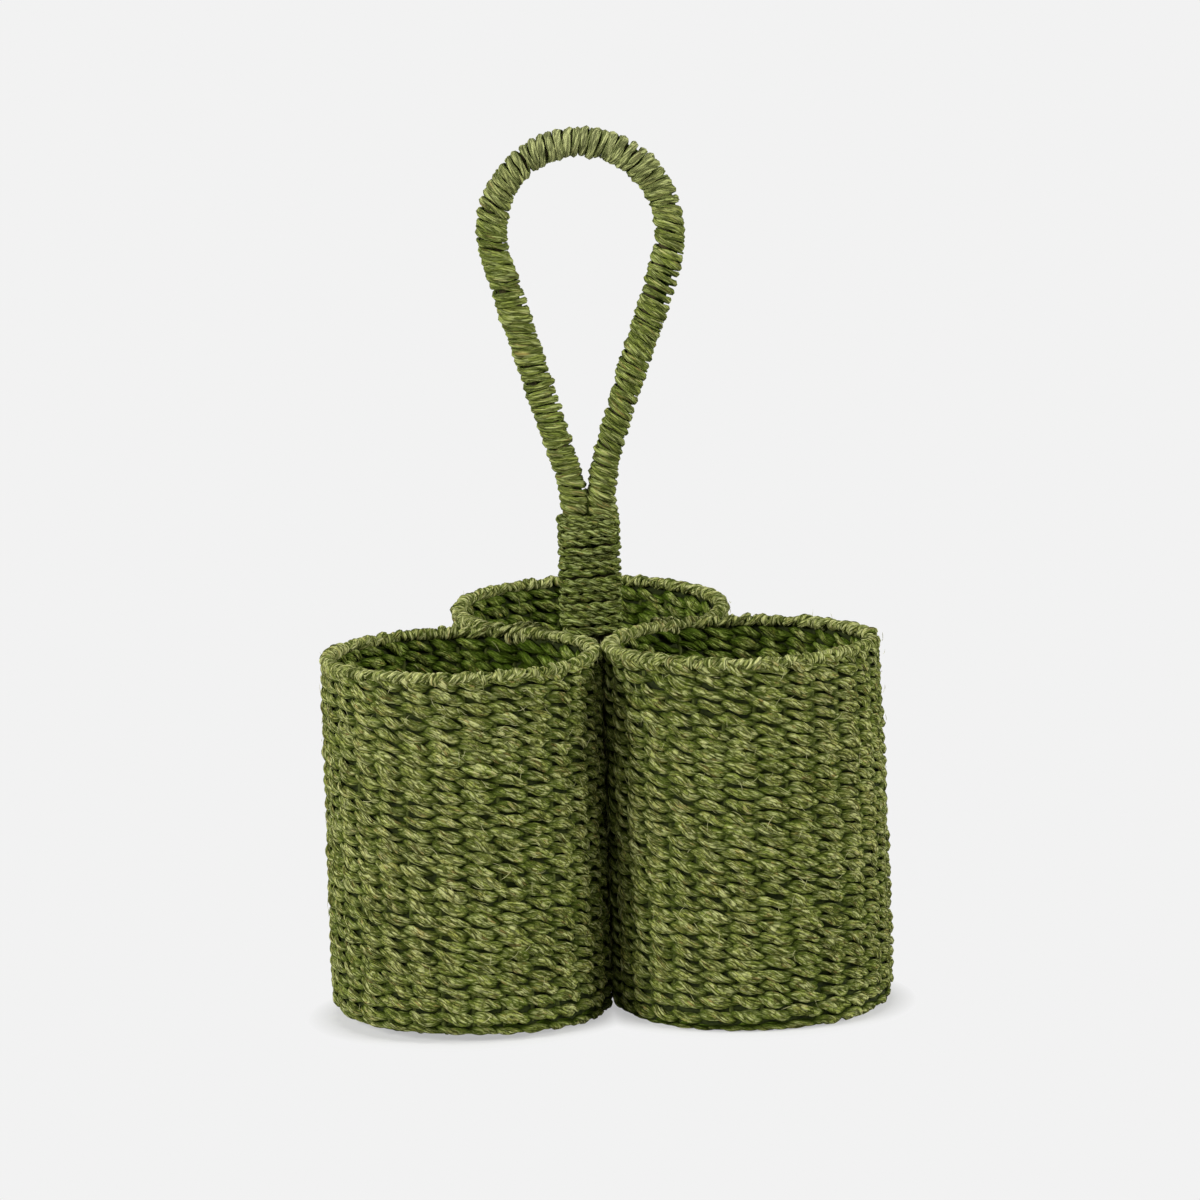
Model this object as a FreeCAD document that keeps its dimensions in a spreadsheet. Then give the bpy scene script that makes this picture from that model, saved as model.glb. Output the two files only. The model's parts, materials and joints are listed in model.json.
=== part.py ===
"""A woven bottle carrier: three twined cups sewn side by side around one whipped, looped handle.

Millimetres, +Z up. The carrier stands on z = 0, with the origin in the middle of its footprint box.
Two cups stand in front, left and right, and one behind. The handle's stem rises from the gap between them.
"""

import math
import os

import FreeCAD
import Part
import Sketcher

OUT = "parts"

# Driving dimensions, in millimetres, degrees or counts
SIZES = {
    "cup_radius": 50.0,
    "back_cup_radius": 52.0,
    "left_cup_height": 131.0,
    "right_cup_height": 132.5,
    "back_cup_height": 133.5,
    "wall_thickness": 6.0,
    "base_thickness": 6.0,
    "corner_radius": 7.5,
    "lip_flat": 1.5,
    "base_fit": 0.15,
    "rim_height": 6.0,
    "rim_round_share": 0.48,
    "seam_gap": 0.4,
    "stake_diameter": 2.0,
    "stake_fit": 0.12,
    "stake_inset": 2.8,
    "stake_bend": 5.0,
    "spoke_start": 18.0,
    "stake_count": 28,
    "lacing_diameter": 1.6,
    "lacing_bite": 1.3,
    "lacing_corner": 1.2,
    "lacing_margin": 16.0,
    "lacing_crossings": 9,
    "tie_diameter": 1.8,
    "tie_half": 2.5,
    "tie_end_radius": 1.6,
    "tie_lift": 0.2,
    "tie_pitch": 3.2,
    "tie_turns": 4,
    "stem_offset": -2.0,
    "stem_length": 44.0,
    "rim_clearance": 0.6,
    "core_diameter": 7.0,
    "core_spacing": 10.6,
    "tail_diameter": 5.6,
    "tail_length": 50.0,
    "whip_diameter": 2.3,
    "whip_fit": 0.1,
    "whip_turns": 14,
    "lashing_diameter": 1.8,
    "lashing_fit": 0.3,
    "lashing_drop": 14.0,
    "lashing_pitch": 3.6,
    "lashing_turns": 5,
    "hinge_gap": 0.3,
    "whip_gap": 2.1,
    "wrap_diameter": 10.4,
    "wrap_fit": 0.15,
    "loop_height": 129.3,
    "left_loop_radius": 31.5,
    "right_loop_radius": 32.0,
    "left_neck_radius": 40.0,
    "right_neck_radius": 70.0,
    "cut_overrun": 2.0,
}

UP = FreeCAD.Vector(0, 0, 1)


def make_sheet(doc):
    """The spreadsheet that holds the driving dimensions, one alias to a row."""
    sheet = doc.addObject("Spreadsheet::Sheet", "sizes")
    for row, (name, value) in enumerate(SIZES.items(), start=1):
        sheet.set(f"A{row}", name)
        sheet.set(f"B{row}", str(value))
        sheet.setAlias(f"B{row}", name)
    doc.recompute()
    return sheet


class Layout:
    """Places that follow from the driving dimensions: where each cup, the stem and the loop stand."""

    def __init__(self, sheet):
        for name in SIZES:
            setattr(self, name, float(sheet.get(name)))
        reach = self.cup_radius + self.seam_gap / 2
        centres = self.cup_radius + self.back_cup_radius + self.seam_gap
        depth = math.sqrt(centres**2 - reach**2)
        front = (self.cup_radius - depth - self.back_cup_radius) / 2
        self.cups = {
            "left": (-reach, front, "cup_radius", "left_cup_height"),
            "right": (reach, front, "cup_radius", "right_cup_height"),
            "back": (0.0, front + depth, "back_cup_radius", "back_cup_height"),
        }
        # The lashing's back run lies half sunk in the front of the back cup.
        self.lashing_end = (self.tail_diameter + self.lashing_diameter) / 2 + self.lashing_fit
        self.stem_y = front + depth - self.back_cup_radius - self.lashing_end
        # Its two ends lie half sunk in the left and right cups, and never inside the tails.
        across = math.sqrt((self.cup_radius + self.lashing_end) ** 2 - (self.stem_y - front) ** 2)
        tails = abs(self.stem_offset) + self.core_spacing / 2
        self.lashing_half = max(reach - across, tails)
        self.rim_top = max(self.left_cup_height, self.right_cup_height, self.back_cup_height)
        self.stem_bottom = self.rim_top + self.rim_clearance
        self.hinge_z = self.stem_bottom + self.stem_length

    def centre(self, cup):
        x, y = self.cups[cup][:2]
        return FreeCAD.Vector(x, y, 0)

    def radius(self, cup):
        return getattr(self, self.cups[cup][2])

    def height(self, cup):
        return getattr(self, self.cups[cup][3])

    def wall_top(self, cup):
        return self.height(cup) - self.rim_height


# Sketched bodies


def origin_plane(body, role):
    return next(f for f in body.Origin.OriginFeatures if f.Role == role)


def ring_sketch(body, name, radii, height="0"):
    """A sketch of circles about the body's axis, lying at a height. Radii and height are sheet expressions."""
    sketch = body.newObject("Sketcher::SketchObject", name)
    sketch.AttachmentSupport = [(origin_plane(body, "XY_Plane"), "")]
    sketch.MapMode = "FlatFace"
    sketch.setExpression("AttachmentOffset.Base.z", height)
    for index, radius in enumerate(radii):
        circle = Part.Circle(FreeCAD.Vector(0, 0, 0), UP, index + 1)
        sketch.addGeometry(circle, False)
        sketch.addConstraint(Sketcher.Constraint("Coincident", index, 3, -1, 1))
        at = sketch.addConstraint(Sketcher.Constraint("Radius", index, index + 1))
        sketch.setExpression(f"Constraints[{at}]", radius)
    return sketch


def pad(body, name, radii, length, height="0"):
    feature = body.newObject("PartDesign::Pad", name)
    feature.Profile = ring_sketch(body, name + "_sketch", radii, height)
    feature.setExpression("Length", length)
    body.Document.recompute()
    return feature


def pocket_up(body, name, radius, length, height="0"):
    """A round pocket that is cut upwards from its sketch."""
    before = body.Shape.Volume
    feature = body.newObject("PartDesign::Pocket", name)
    feature.Profile = ring_sketch(body, name + "_sketch", [radius], height)
    feature.Reversed = True
    feature.setExpression("Length", length)
    body.Document.recompute()
    if not body.Shape.Volume < before:
        raise RuntimeError(f"{body.Label}: pocket {name} cut nothing")
    return feature


def round_edges(body, name, height, radius):
    """Fillets the body's full circles that lie at a height."""
    base = body.Tip
    edges = []
    for index, edge in enumerate(base.Shape.Edges, start=1):
        level = edge.BoundBox.ZMax - edge.BoundBox.ZMin < Part.Precision.confusion()
        if level and math.isclose(edge.BoundBox.ZMin, height, abs_tol=Part.Precision.approximation()):
            edges.append(f"Edge{index}")
    feature = body.newObject("PartDesign::Fillet", name)
    feature.Base = (base, edges)
    feature.setExpression("Radius", radius)
    body.Document.recompute()
    return feature


def new_body(doc, label, place):
    body = doc.addObject("PartDesign::Body", label)
    body.Label = label
    body.Placement.Base = place
    return body


# Tubes along wires


def tube(wire, diameter):
    """A round solid swept along a wire of lines and arcs."""
    start = wire.OrderedEdges[0]
    at = start.valueAt(start.FirstParameter)
    along = start.tangentAt(start.FirstParameter)
    section = Part.Wire(Part.Circle(at, along, diameter / 2).toShape())
    return wire.makePipeShell([section], True, False)


def rounded_line(points, radius):
    """A wire through points, with an arc of one radius at each corner."""
    edges = []
    start = points[0]
    for before, corner, after in zip(points, points[1:], points[2:]):
        back = (before - corner).normalize()
        ahead = (after - corner).normalize()
        half = back.getAngle(ahead) / 2
        setback = radius / math.tan(half)
        middle = (back + ahead).normalize()
        into, out = corner + back * setback, corner + ahead * setback
        top = corner + middle * (radius / math.sin(half) - radius)
        edges.append(Part.LineSegment(start, into).toShape())
        edges.append(Part.Arc(into, top, out).toShape())
        start = out
    edges.append(Part.LineSegment(start, points[-1]).toShape())
    return Part.Wire(edges)


def arc_from(start, along, end):
    """The arc that leaves start along a direction and ends at a point."""
    chord = end - start
    normal = along.cross(chord).cross(along).normalize()
    radius = chord.Length**2 / (2 * chord.dot(normal))
    centre = start + normal * radius
    middle = (start + end) * 0.5 - centre
    return Part.Arc(start, centre + middle.normalize() * radius, end).toShape()


def biarc(start, along, end, towards):
    """Two arcs that leave start along one direction and reach end along another."""
    gap, sides = end - start, along + towards
    spread = 2 * (1 - along.dot(towards))
    reach = (math.sqrt(gap.dot(sides) ** 2 + spread * gap.dot(gap)) - gap.dot(sides)) / spread
    middle = (start + along * reach + end - towards * reach) * 0.5
    return [arc_from(start, along, middle), arc_from(end, towards * -1, middle)]


def oval_winding(half, end_radius, pitch, turns):
    """A wire wound about +Z round an oval of two half circles and two straight runs. It starts at z = 0,
    in the middle of a straight run at the back, and climbs at a steady rate."""
    climb = pitch / (4 * half + 2 * math.pi * end_radius)
    edges = []

    def on_end(side, angle, z):
        x = side * (half + end_radius * math.cos(angle))
        return FreeCAD.Vector(x, side * end_radius * math.sin(angle), z)

    def way_on_end(side, angle):
        return FreeCAD.Vector(-side * math.sin(angle), side * math.cos(angle), climb).normalize()

    point = FreeCAD.Vector(0, end_radius, 0)
    for turn in range(2 * turns):
        side = -1 if turn % 2 == 0 else 1
        angle = -math.pi / 2
        step = on_end(side, angle, point.z + half * climb)
        edges.append(Part.LineSegment(point, step).toShape())
        for _ in range(2):
            turned = angle + math.pi / 2
            rise = end_radius * math.pi / 2 * climb
            after = on_end(side, turned, step.z + rise)
            edges += biarc(step, way_on_end(side, angle), after, way_on_end(side, turned))
            step, angle = after, turned
        point = FreeCAD.Vector(0, step.y, step.z + half * climb)
        edges.append(Part.LineSegment(step, point).toShape())
    return Part.Wire(Part.__sortEdges__(edges))


def least_gap(wire, diameter, turn_length):
    """The least gap that a wound tube leaves to itself, measured on points along its wire."""
    per_turn = 48
    count = max(per_turn, round(wire.Length / turn_length * per_turn))
    points = wire.discretize(Number=count)
    near = per_turn // 2
    least = min(
        points[i].distanceToPoint(points[j])
        for i in range(len(points))
        for j in range(i + near, min(i + 2 * per_turn, len(points)))
    )
    return least - diameter


# The sub-parts


def add_shape(doc, label, shape, place=None):
    """A document object that holds a shape made with Part's own functions."""
    feature = doc.addObject("Part::Feature", label)
    feature.Label = label
    feature.Shape = shape
    if place is not None:
        feature.Placement.Base = place
    return feature


def cut(doc, label, base, tool):
    feature = doc.addObject("Part::Cut", label)
    feature.Label = label
    feature.Base = base
    feature.Tool = tool
    doc.recompute()
    return feature


def all_round(shape, count):
    """Copies of a shape, evenly spaced about the Z axis."""
    copies = []
    for index in range(count):
        copy = shape.copy()
        copy.rotate(FreeCAD.Vector(0, 0, 0), UP, index * 360 / count)
        copies.append(copy)
    return Part.makeCompound(copies)


def stake_line(lay, cup):
    """A stake's route: along a spoke of the base, then up the middle of the wall."""
    level = lay.base_thickness / 2
    upright = lay.radius(cup) - lay.wall_thickness + lay.stake_inset
    points = [
        FreeCAD.Vector(lay.spoke_start, 0, level),
        FreeCAD.Vector(upright, 0, level),
        FreeCAD.Vector(upright, 0, lay.wall_top(cup)),
    ]
    return rounded_line(points, lay.stake_bend)


def make_cup(doc, lay, cup):
    """One cup: a base, stakes that turn up from it, the wall twined round them, and a rim on top."""
    place = lay.centre(cup)
    radius, height = (f"sizes.{name}" for name in lay.cups[cup][2:])
    hole = f"{radius} - sizes.corner_radius - sizes.lip_flat"
    inner = f"{radius} - sizes.wall_thickness"
    count = round(lay.stake_count)

    # Stakes, and the channels they leave in the weave
    line = stake_line(lay, cup)
    stakes = add_shape(doc, f"{cup}_cup_stakes", all_round(tube(line, lay.stake_diameter), count), place)
    channel = tube(line, lay.stake_diameter + 2 * lay.stake_fit)
    channels = add_shape(doc, f"{cup}_stake_channels", all_round(channel, count), place)

    # Base disc, with a channel for each spoke
    base_body = new_body(doc, f"{cup}_base_body", place)
    pad(base_body, f"{cup}_base_pad", [f"{hole} - sizes.base_fit"], "sizes.base_thickness")
    base = cut(doc, f"{cup}_cup_base", base_body, channels)

    # Wall, turned in under its rounded foot to meet the base
    wall_body = new_body(doc, f"{cup}_wall_body", place)
    pad(wall_body, f"{cup}_wall_pad", [radius], f"{height} - sizes.rim_height")
    round_edges(wall_body, f"{cup}_wall_foot", 0, "sizes.corner_radius")
    pocket_up(wall_body, f"{cup}_wall_bore", inner, height, "sizes.base_thickness")
    pocket_up(wall_body, f"{cup}_wall_foot_hole", hole, "sizes.base_thickness + sizes.cut_overrun")
    wall = cut(doc, f"{cup}_cup_wall", wall_body, channels)

    # Rim, a ring with a rounded top that sits on the wall
    rim = new_body(doc, f"{cup}_cup_rim", place)
    pad(rim, f"{cup}_rim_pad", [radius, inner], "sizes.rim_height", f"{height} - sizes.rim_height")
    round_edges(rim, f"{cup}_rim_top", lay.height(cup), "sizes.wall_thickness * sizes.rim_round_share")
    return [base, wall, stakes, rim]


def seam_between(lay, cup, other):
    """The point at the foot of the seam between two cups, and the way across it."""
    across = (lay.centre(other) - lay.centre(cup)).normalize()
    return lay.centre(cup) + across * (lay.radius(cup) + lay.seam_gap / 2), across


def make_lacing(doc, lay, label, cup, other):
    """A cord that is sewn to and fro through the outer skins of two cups, all the way up their seam."""
    seam, across = seam_between(lay, cup, other)
    low, high = lay.lacing_margin, min(lay.wall_top(cup), lay.wall_top(other)) - lay.lacing_margin
    crossings = round(lay.lacing_crossings)
    step = (high - low) / crossings
    points = [seam - across * lay.lacing_bite + UP * low]
    for index in range(crossings):
        level = low + (index + 0.5) * step
        side = 1 if index % 2 else -1
        points.append(seam + across * lay.lacing_bite * side + UP * level)
        points.append(seam - across * lay.lacing_bite * side + UP * level)
    side = 1 if crossings % 2 else -1
    points.append(seam + across * lay.lacing_bite * side + UP * high)
    return add_shape(doc, label, tube(rounded_line(points, lay.lacing_corner), lay.lacing_diameter))


def make_rim_tie(doc, lay, label, cup, other):
    """A few turns of cord that bind two rims where they touch, sewn through both above the walls."""
    seam, across = seam_between(lay, cup, other)
    turns = round(lay.tie_turns)
    wire = oval_winding(lay.tie_half, lay.tie_end_radius, lay.tie_pitch, turns)
    along = across.cross(UP)
    reach = lay.tie_end_radius + lay.tie_diameter / 2
    level = max(lay.wall_top(cup), lay.wall_top(other)) + lay.tie_lift + reach
    tie = add_shape(doc, label, tube(wire, lay.tie_diameter))
    start = seam + UP * level - along * (turns * lay.tie_pitch / 2)
    tie.Placement = FreeCAD.Placement(start, FreeCAD.Rotation(across * -1, UP * -1, along, "ZXY"))
    report_gap(label, wire, lay.tie_diameter, turns)
    return tie


def make_stem(doc, lay):
    """The fixed part of the handle: its two core ends, the whipping round them above the rims, and the
    lashing that ties their tails to all three cups."""
    made = []
    for side, label in ((-1, "stem_core_left"), (1, "stem_core_right")):
        x = lay.stem_offset + side * lay.core_spacing / 2
        core = new_body(doc, label, FreeCAD.Vector(x, lay.stem_y, lay.stem_bottom))
        pad(core, f"{label}_tail", ["sizes.tail_diameter / 2"], "sizes.tail_length", "-sizes.tail_length")
        upper = "sizes.stem_length - sizes.core_diameter / 2 - sizes.hinge_gap"
        pad(core, f"{label}_upper", ["sizes.core_diameter / 2"], upper)
        made.append(core)

    whip_end = (lay.core_diameter + lay.whip_diameter) / 2 + lay.whip_fit
    turns = round(lay.whip_turns)
    pitch = (lay.stem_length - lay.whip_gap - lay.whip_diameter) / turns
    whip = oval_winding(lay.core_spacing / 2, whip_end, pitch, turns)
    whip_place = FreeCAD.Vector(lay.stem_offset, lay.stem_y, lay.stem_bottom + lay.whip_diameter / 2)
    made.append(add_shape(doc, "stem_whipping", tube(whip, lay.whip_diameter), whip_place))
    report_gap("stem_whipping", whip, lay.whip_diameter, turns)

    turns = round(lay.lashing_turns)
    lashing = oval_winding(lay.lashing_half, lay.lashing_end, lay.lashing_pitch, turns)
    bottom = lay.rim_top - lay.lashing_drop - turns * lay.lashing_pitch
    lashing_place = FreeCAD.Vector(0, lay.stem_y, bottom)
    made.append(add_shape(doc, "stem_lashing", tube(lashing, lay.lashing_diameter), lashing_place))
    report_gap("stem_lashing", lashing, lay.lashing_diameter, turns)
    return made


def report_gap(label, wire, diameter, turns):
    gap = least_gap(wire, diameter, wire.Length / turns)
    print(f"{label}: {turns} turns, least gap to itself {gap:.2f} mm")


def loop_side(lay, side, radius, neck):
    """Half of the loop's centreline, from the hinge up: an arc that bends the leg outwards, a straight run
    and a round shoulder that ends level at the top."""
    half = lay.core_spacing / 2
    gap, rise = half + neck, lay.loop_height - radius
    # The straight run touches the neck's circle on one side and the shoulder's on the other.
    lean = math.asin((radius + neck) / math.hypot(gap, rise)) - math.atan2(gap, rise)

    def at(x, z):
        return FreeCAD.Vector(lay.stem_offset + side * x, lay.stem_y, lay.hinge_z + z)

    start = at(half, 0)
    bend = at(gap - neck * math.cos(lean), neck * math.sin(lean))
    shoulder = at(radius * math.cos(lean), rise - radius * math.sin(lean))
    return [
        arc_from(start, UP, bend),
        Part.LineSegment(bend, shoulder).toShape(),
        arc_from(shoulder, (shoulder - bend).normalize(), at(0, lay.loop_height)),
    ]


def loop_wire(lay):
    """The loop's centreline, in the plane of the stem: two legs that leave the stem upright, bend apart
    and close in a round top. The right leg bends more slowly and then wider than the left."""
    left = loop_side(lay, -1, lay.left_loop_radius, lay.left_neck_radius)
    right = loop_side(lay, 1, lay.right_loop_radius, lay.right_neck_radius)
    return Part.Wire(left + right[::-1])


def make_loop(doc, lay):
    """The moving part of the handle: the core's loop, rounded where it bends at the top of the stem, and
    the cord wrapped all the way round it."""
    wire = loop_wire(lay)
    core = tube(wire, lay.core_diameter)
    radius = lay.core_diameter / 2
    axis = FreeCAD.Vector(1, 0, 0)
    for side in (-1, 1):
        end = FreeCAD.Vector(lay.stem_offset + side * lay.core_spacing / 2, lay.stem_y, lay.hinge_z)
        upright = Part.makeCylinder(radius, radius, end - UP * radius, UP)
        across = Part.makeCylinder(radius, lay.core_diameter, end - axis * radius, axis)
        core = core.fuse(upright.common(across))
    sheath = tube(wire, lay.wrap_diameter).cut(tube(wire, lay.core_diameter + 2 * lay.wrap_fit))
    return [
        add_shape(doc, "loop_core", core.removeSplitter()),
        add_shape(doc, "loop_wrap", sheath),
    ]


def check(doc, parts):
    """Stops before anything is written if an object failed or a shape isn't whole."""
    for item in doc.Objects:
        if {"Invalid", "Error"} & set(item.State):
            raise RuntimeError(f"{item.Label} failed: {item.State}")
    for part in parts:
        shape = part.Shape
        if shape.isNull() or not shape.isValid() or not shape.Solids:
            raise RuntimeError(f"{part.Label} has no valid solid")


def main():
    doc = FreeCAD.newDocument("bottle_carrier")
    lay = Layout(make_sheet(doc))
    parts = []
    for cup in lay.cups:
        parts += make_cup(doc, lay, cup)
    parts.append(make_lacing(doc, lay, "front_lacing", "left", "right"))
    parts.append(make_lacing(doc, lay, "left_lacing", "left", "back"))
    parts.append(make_lacing(doc, lay, "right_lacing", "right", "back"))
    parts.append(make_rim_tie(doc, lay, "left_rim_tie", "left", "back"))
    parts.append(make_rim_tie(doc, lay, "right_rim_tie", "right", "back"))
    parts += make_stem(doc, lay)
    parts += make_loop(doc, lay)
    doc.recompute()
    check(doc, parts)
    os.makedirs(OUT, exist_ok=True)
    for part in parts:
        part.Shape.exportStep(os.path.join(OUT, part.Label + ".step"))
        box = part.Shape.BoundBox
        print(
            f"{part.Label}: {len(part.Shape.Solids)} solids, {part.Shape.Volume:.1f} mm3, "
            f"x {box.XMin:.2f} {box.XMax:.2f}, y {box.YMin:.2f} {box.YMax:.2f}, z {box.ZMin:.2f} {box.ZMax:.2f}"
        )


main()
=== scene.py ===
# %% [markdown]
# # A woven bottle carrier
# Three round cups, twined from olive abaca yarn, are sewn side by side. A whipped stem stands in the gap
# between them and opens into a wrapped loop for the hand. The CAD model gives every size and place. This
# script dresses it: each solid of the weave is replaced by the yarn that it stands for.

import json
import math

import bmesh
import bpy
import numpy as np
from mathutils import Matrix, Vector


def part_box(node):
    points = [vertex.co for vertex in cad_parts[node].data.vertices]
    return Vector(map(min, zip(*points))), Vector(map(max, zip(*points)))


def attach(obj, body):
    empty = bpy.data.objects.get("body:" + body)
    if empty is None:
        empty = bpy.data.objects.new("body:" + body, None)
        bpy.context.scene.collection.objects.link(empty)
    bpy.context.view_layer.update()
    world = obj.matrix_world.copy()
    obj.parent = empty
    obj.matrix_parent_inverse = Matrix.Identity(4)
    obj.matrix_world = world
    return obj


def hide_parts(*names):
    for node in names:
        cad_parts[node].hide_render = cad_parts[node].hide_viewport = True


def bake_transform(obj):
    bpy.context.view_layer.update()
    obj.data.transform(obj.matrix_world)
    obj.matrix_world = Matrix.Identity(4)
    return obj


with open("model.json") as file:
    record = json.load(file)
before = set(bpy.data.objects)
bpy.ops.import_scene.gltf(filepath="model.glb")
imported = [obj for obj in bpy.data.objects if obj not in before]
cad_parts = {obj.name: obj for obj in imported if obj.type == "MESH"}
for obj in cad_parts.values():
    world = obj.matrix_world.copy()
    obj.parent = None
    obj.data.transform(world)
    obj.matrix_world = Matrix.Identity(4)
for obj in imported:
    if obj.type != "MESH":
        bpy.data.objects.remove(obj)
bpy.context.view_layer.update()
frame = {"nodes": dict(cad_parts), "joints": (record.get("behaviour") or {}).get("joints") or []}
MM = 0.001

# %% [markdown]
# ## Camera
# The photo was taken from a little above the rims with a long lens. A camera fitted to the outlines of the
# three cups gives its distance, height, turn and a small roll, which is why the whole carrier leans to the
# left in the picture, by a degree and a half.

# %% Camera
TURN, RISE, ROLL = math.radians(-2.397), math.radians(8.655), math.radians(-1.697)
AIM, AIM_ACROSS = Vector((0, -16.755 * MM, 143.0 * MM)), 1.141 * MM
DISTANCE = 1.8
SENSOR, PHOTO_PIXELS, FOCAL_PIXELS = 36, 1200, 5004

scene = bpy.context.scene
away = Vector((math.sin(TURN) * math.cos(RISE), -math.cos(TURN) * math.cos(RISE), math.sin(RISE)))
right = Vector((math.cos(TURN), math.sin(TURN), 0))
above = away.cross(right)
camera_x = right * math.cos(ROLL) + above * math.sin(ROLL)
camera_y = above * math.cos(ROLL) - right * math.sin(ROLL)
facing = Matrix((camera_x, camera_y, away)).transposed().to_4x4()

lens = bpy.data.cameras.new("photo_camera")
lens.sensor_width = SENSOR
lens.lens = SENSOR * FOCAL_PIXELS / PHOTO_PIXELS
camera = bpy.data.objects.new("photo_camera", lens)
camera.matrix_world = Matrix.Translation(AIM + right * AIM_ACROSS + away * DISTANCE) @ facing
scene.collection.objects.link(camera)
scene.camera = camera
scene.view_settings.view_transform = "Standard"
print("camera at", [round(v, 3) for v in camera.location])

# %% [markdown]
# ## Shader helpers
# Every finish here is made of nodes. These short functions make one node each, or a few, and return its
# output, so that a finish can be written down like a sum.

# %% Node helpers


def new_group(name, inputs, outputs):
    """An empty shader node group with named sockets."""
    group = bpy.data.node_groups.new(name, "ShaderNodeTree")
    for label, kind, value in inputs:
        socket = group.interface.new_socket(label, in_out="INPUT", socket_type=kind)
        if value is not None:
            socket.default_value = value
    for label, kind in outputs:
        group.interface.new_socket(label, in_out="OUTPUT", socket_type=kind)
    return group, group.nodes.new("NodeGroupInput"), group.nodes.new("NodeGroupOutput")


def put(value, socket, tree):
    """Links a socket, or sets a plain value."""
    if isinstance(value, bpy.types.NodeSocket):
        tree.links.new(value, socket)
    else:
        socket.default_value = value


def sums(tree, operation, first, second=0.0, third=None, clamp=False):
    """A Math node on sockets or plain values. Returns its output."""
    node = tree.nodes.new("ShaderNodeMath")
    node.operation = operation
    node.use_clamp = clamp
    put(first, node.inputs[0], tree)
    put(second, node.inputs[1], tree)
    if third is not None:
        put(third, node.inputs[2], tree)
    return node.outputs[0]


def triple(tree, x, y, z):
    """Three values as one vector."""
    node = tree.nodes.new("ShaderNodeCombineXYZ")
    for value, socket in zip((x, y, z), node.inputs):
        put(value, socket, tree)
    return node.outputs[0]


def cloud(tree, vector, scale, detail=2.0, roughness=0.5):
    """A noise texture's value."""
    node = tree.nodes.new("ShaderNodeTexNoise")
    put(vector, node.inputs["Vector"], tree)
    node.inputs["Scale"].default_value = scale
    node.inputs["Detail"].default_value = detail
    node.inputs["Roughness"].default_value = roughness
    return node.outputs["Fac"]


def fibres(tree, vector):
    """Cells of a Voronoi texture: the distance from each one's middle, and two random numbers for each."""
    node = tree.nodes.new("ShaderNodeTexVoronoi")
    put(vector, node.inputs["Vector"], tree)
    node.inputs["Scale"].default_value = 1.0
    parts = tree.nodes.new("ShaderNodeSeparateColor")
    tree.links.new(node.outputs["Color"], parts.inputs[0])
    return node.outputs["Distance"], parts.outputs[0], parts.outputs[1]


def spread(tree, value, low, high, to_low=0.0, to_high=1.0):
    """A Map Range node, clamped."""
    node = tree.nodes.new("ShaderNodeMapRange")
    put(value, node.inputs["Value"], tree)
    for label, number in zip(("From Min", "From Max", "To Min", "To Max"), (low, high, to_low, to_high)):
        node.inputs[label].default_value = number
    return node.outputs["Result"]


def mix_shaders(tree, share, first, second, kind):
    """Mixes two shader nodes by a share, and links them to an output node of a kind."""
    pick = tree.nodes.new("ShaderNodeMixShader")
    for value, socket in zip((share, first.outputs[0], second.outputs[0]), pick.inputs):
        tree.links.new(value, socket)
    output = tree.nodes.new(kind)
    tree.links.new(pick.outputs[0], output.inputs[0])


def blend_colours(tree, share, first, second, way="MIX"):
    """A Mix node for colours."""
    node = tree.nodes.new("ShaderNodeMix")
    node.data_type = "RGBA"
    node.blend_type = way
    put(share, node.inputs["Factor"], tree)
    put(first, node.inputs["A"], tree)
    put(second, node.inputs["B"], tree)
    return node.outputs["Result"]


# %% [markdown]
# ## Light and floor
# The picture is a studio cut-out: an even pale grey behind, and soft light from the upper left that leaves
# the crease between the cups and their insides dark. One large lamp on the left is the key, a weaker one
# stands on the right, a third hangs above, and the world fills the rest. The floor shows the same grey as
# the backdrop, except close to the cups, where it keeps their contact shadow.

# %% Lamps
LIT_SPOT = Vector((0, 0, 0.12))


def soft_lamp(name, place, size, power):
    """A square lamp that faces the middle of the carrier."""
    lamp = bpy.data.lights.new(name, "AREA")
    lamp.size = size
    lamp.energy = power
    holder = bpy.data.objects.new(name, lamp)
    holder.location = place
    holder.rotation_euler = (LIT_SPOT - Vector(place)).to_track_quat("-Z", "Y").to_euler()
    scene.collection.objects.link(holder)


soft_lamp("key_lamp", (-2.1, -1.0, 1.2), 0.9, 58)
soft_lamp("fill_lamp", (2.1, -1.0, 1.1), 0.9, 46)
soft_lamp("top_lamp", (-0.1, -0.4, 2.3), 0.8, 18)

# %% World
PALE = 0.888
WORLD_FILL = 0.12

world = bpy.data.worlds.new("studio")
scene.world = world
world.use_nodes = True
tree = world.node_tree
tree.nodes.clear()
path = tree.nodes.new("ShaderNodeLightPath")
seen = path.outputs["Is Camera Ray"]
for kind in ("Is Glossy Ray", "Is Transmission Ray"):
    seen = sums(tree, "MAXIMUM", seen, path.outputs[kind])
fill = tree.nodes.new("ShaderNodeBackground")
fill.inputs["Color"].default_value = (1, 1, 1, 1)
fill.inputs["Strength"].default_value = WORLD_FILL
pale = tree.nodes.new("ShaderNodeBackground")
pale.inputs["Color"].default_value = (PALE, PALE, PALE, 1)
mix_shaders(tree, seen, fill, pale, "ShaderNodeOutputWorld")
print("world:", world.name, "fill", WORLD_FILL)

# %% Floor
FLOOR_HALF = 6
FLOOR_GREY = 0.75
# The contact shadow shows up to this far from a cup.
CONTACT = 9 * MM

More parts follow.
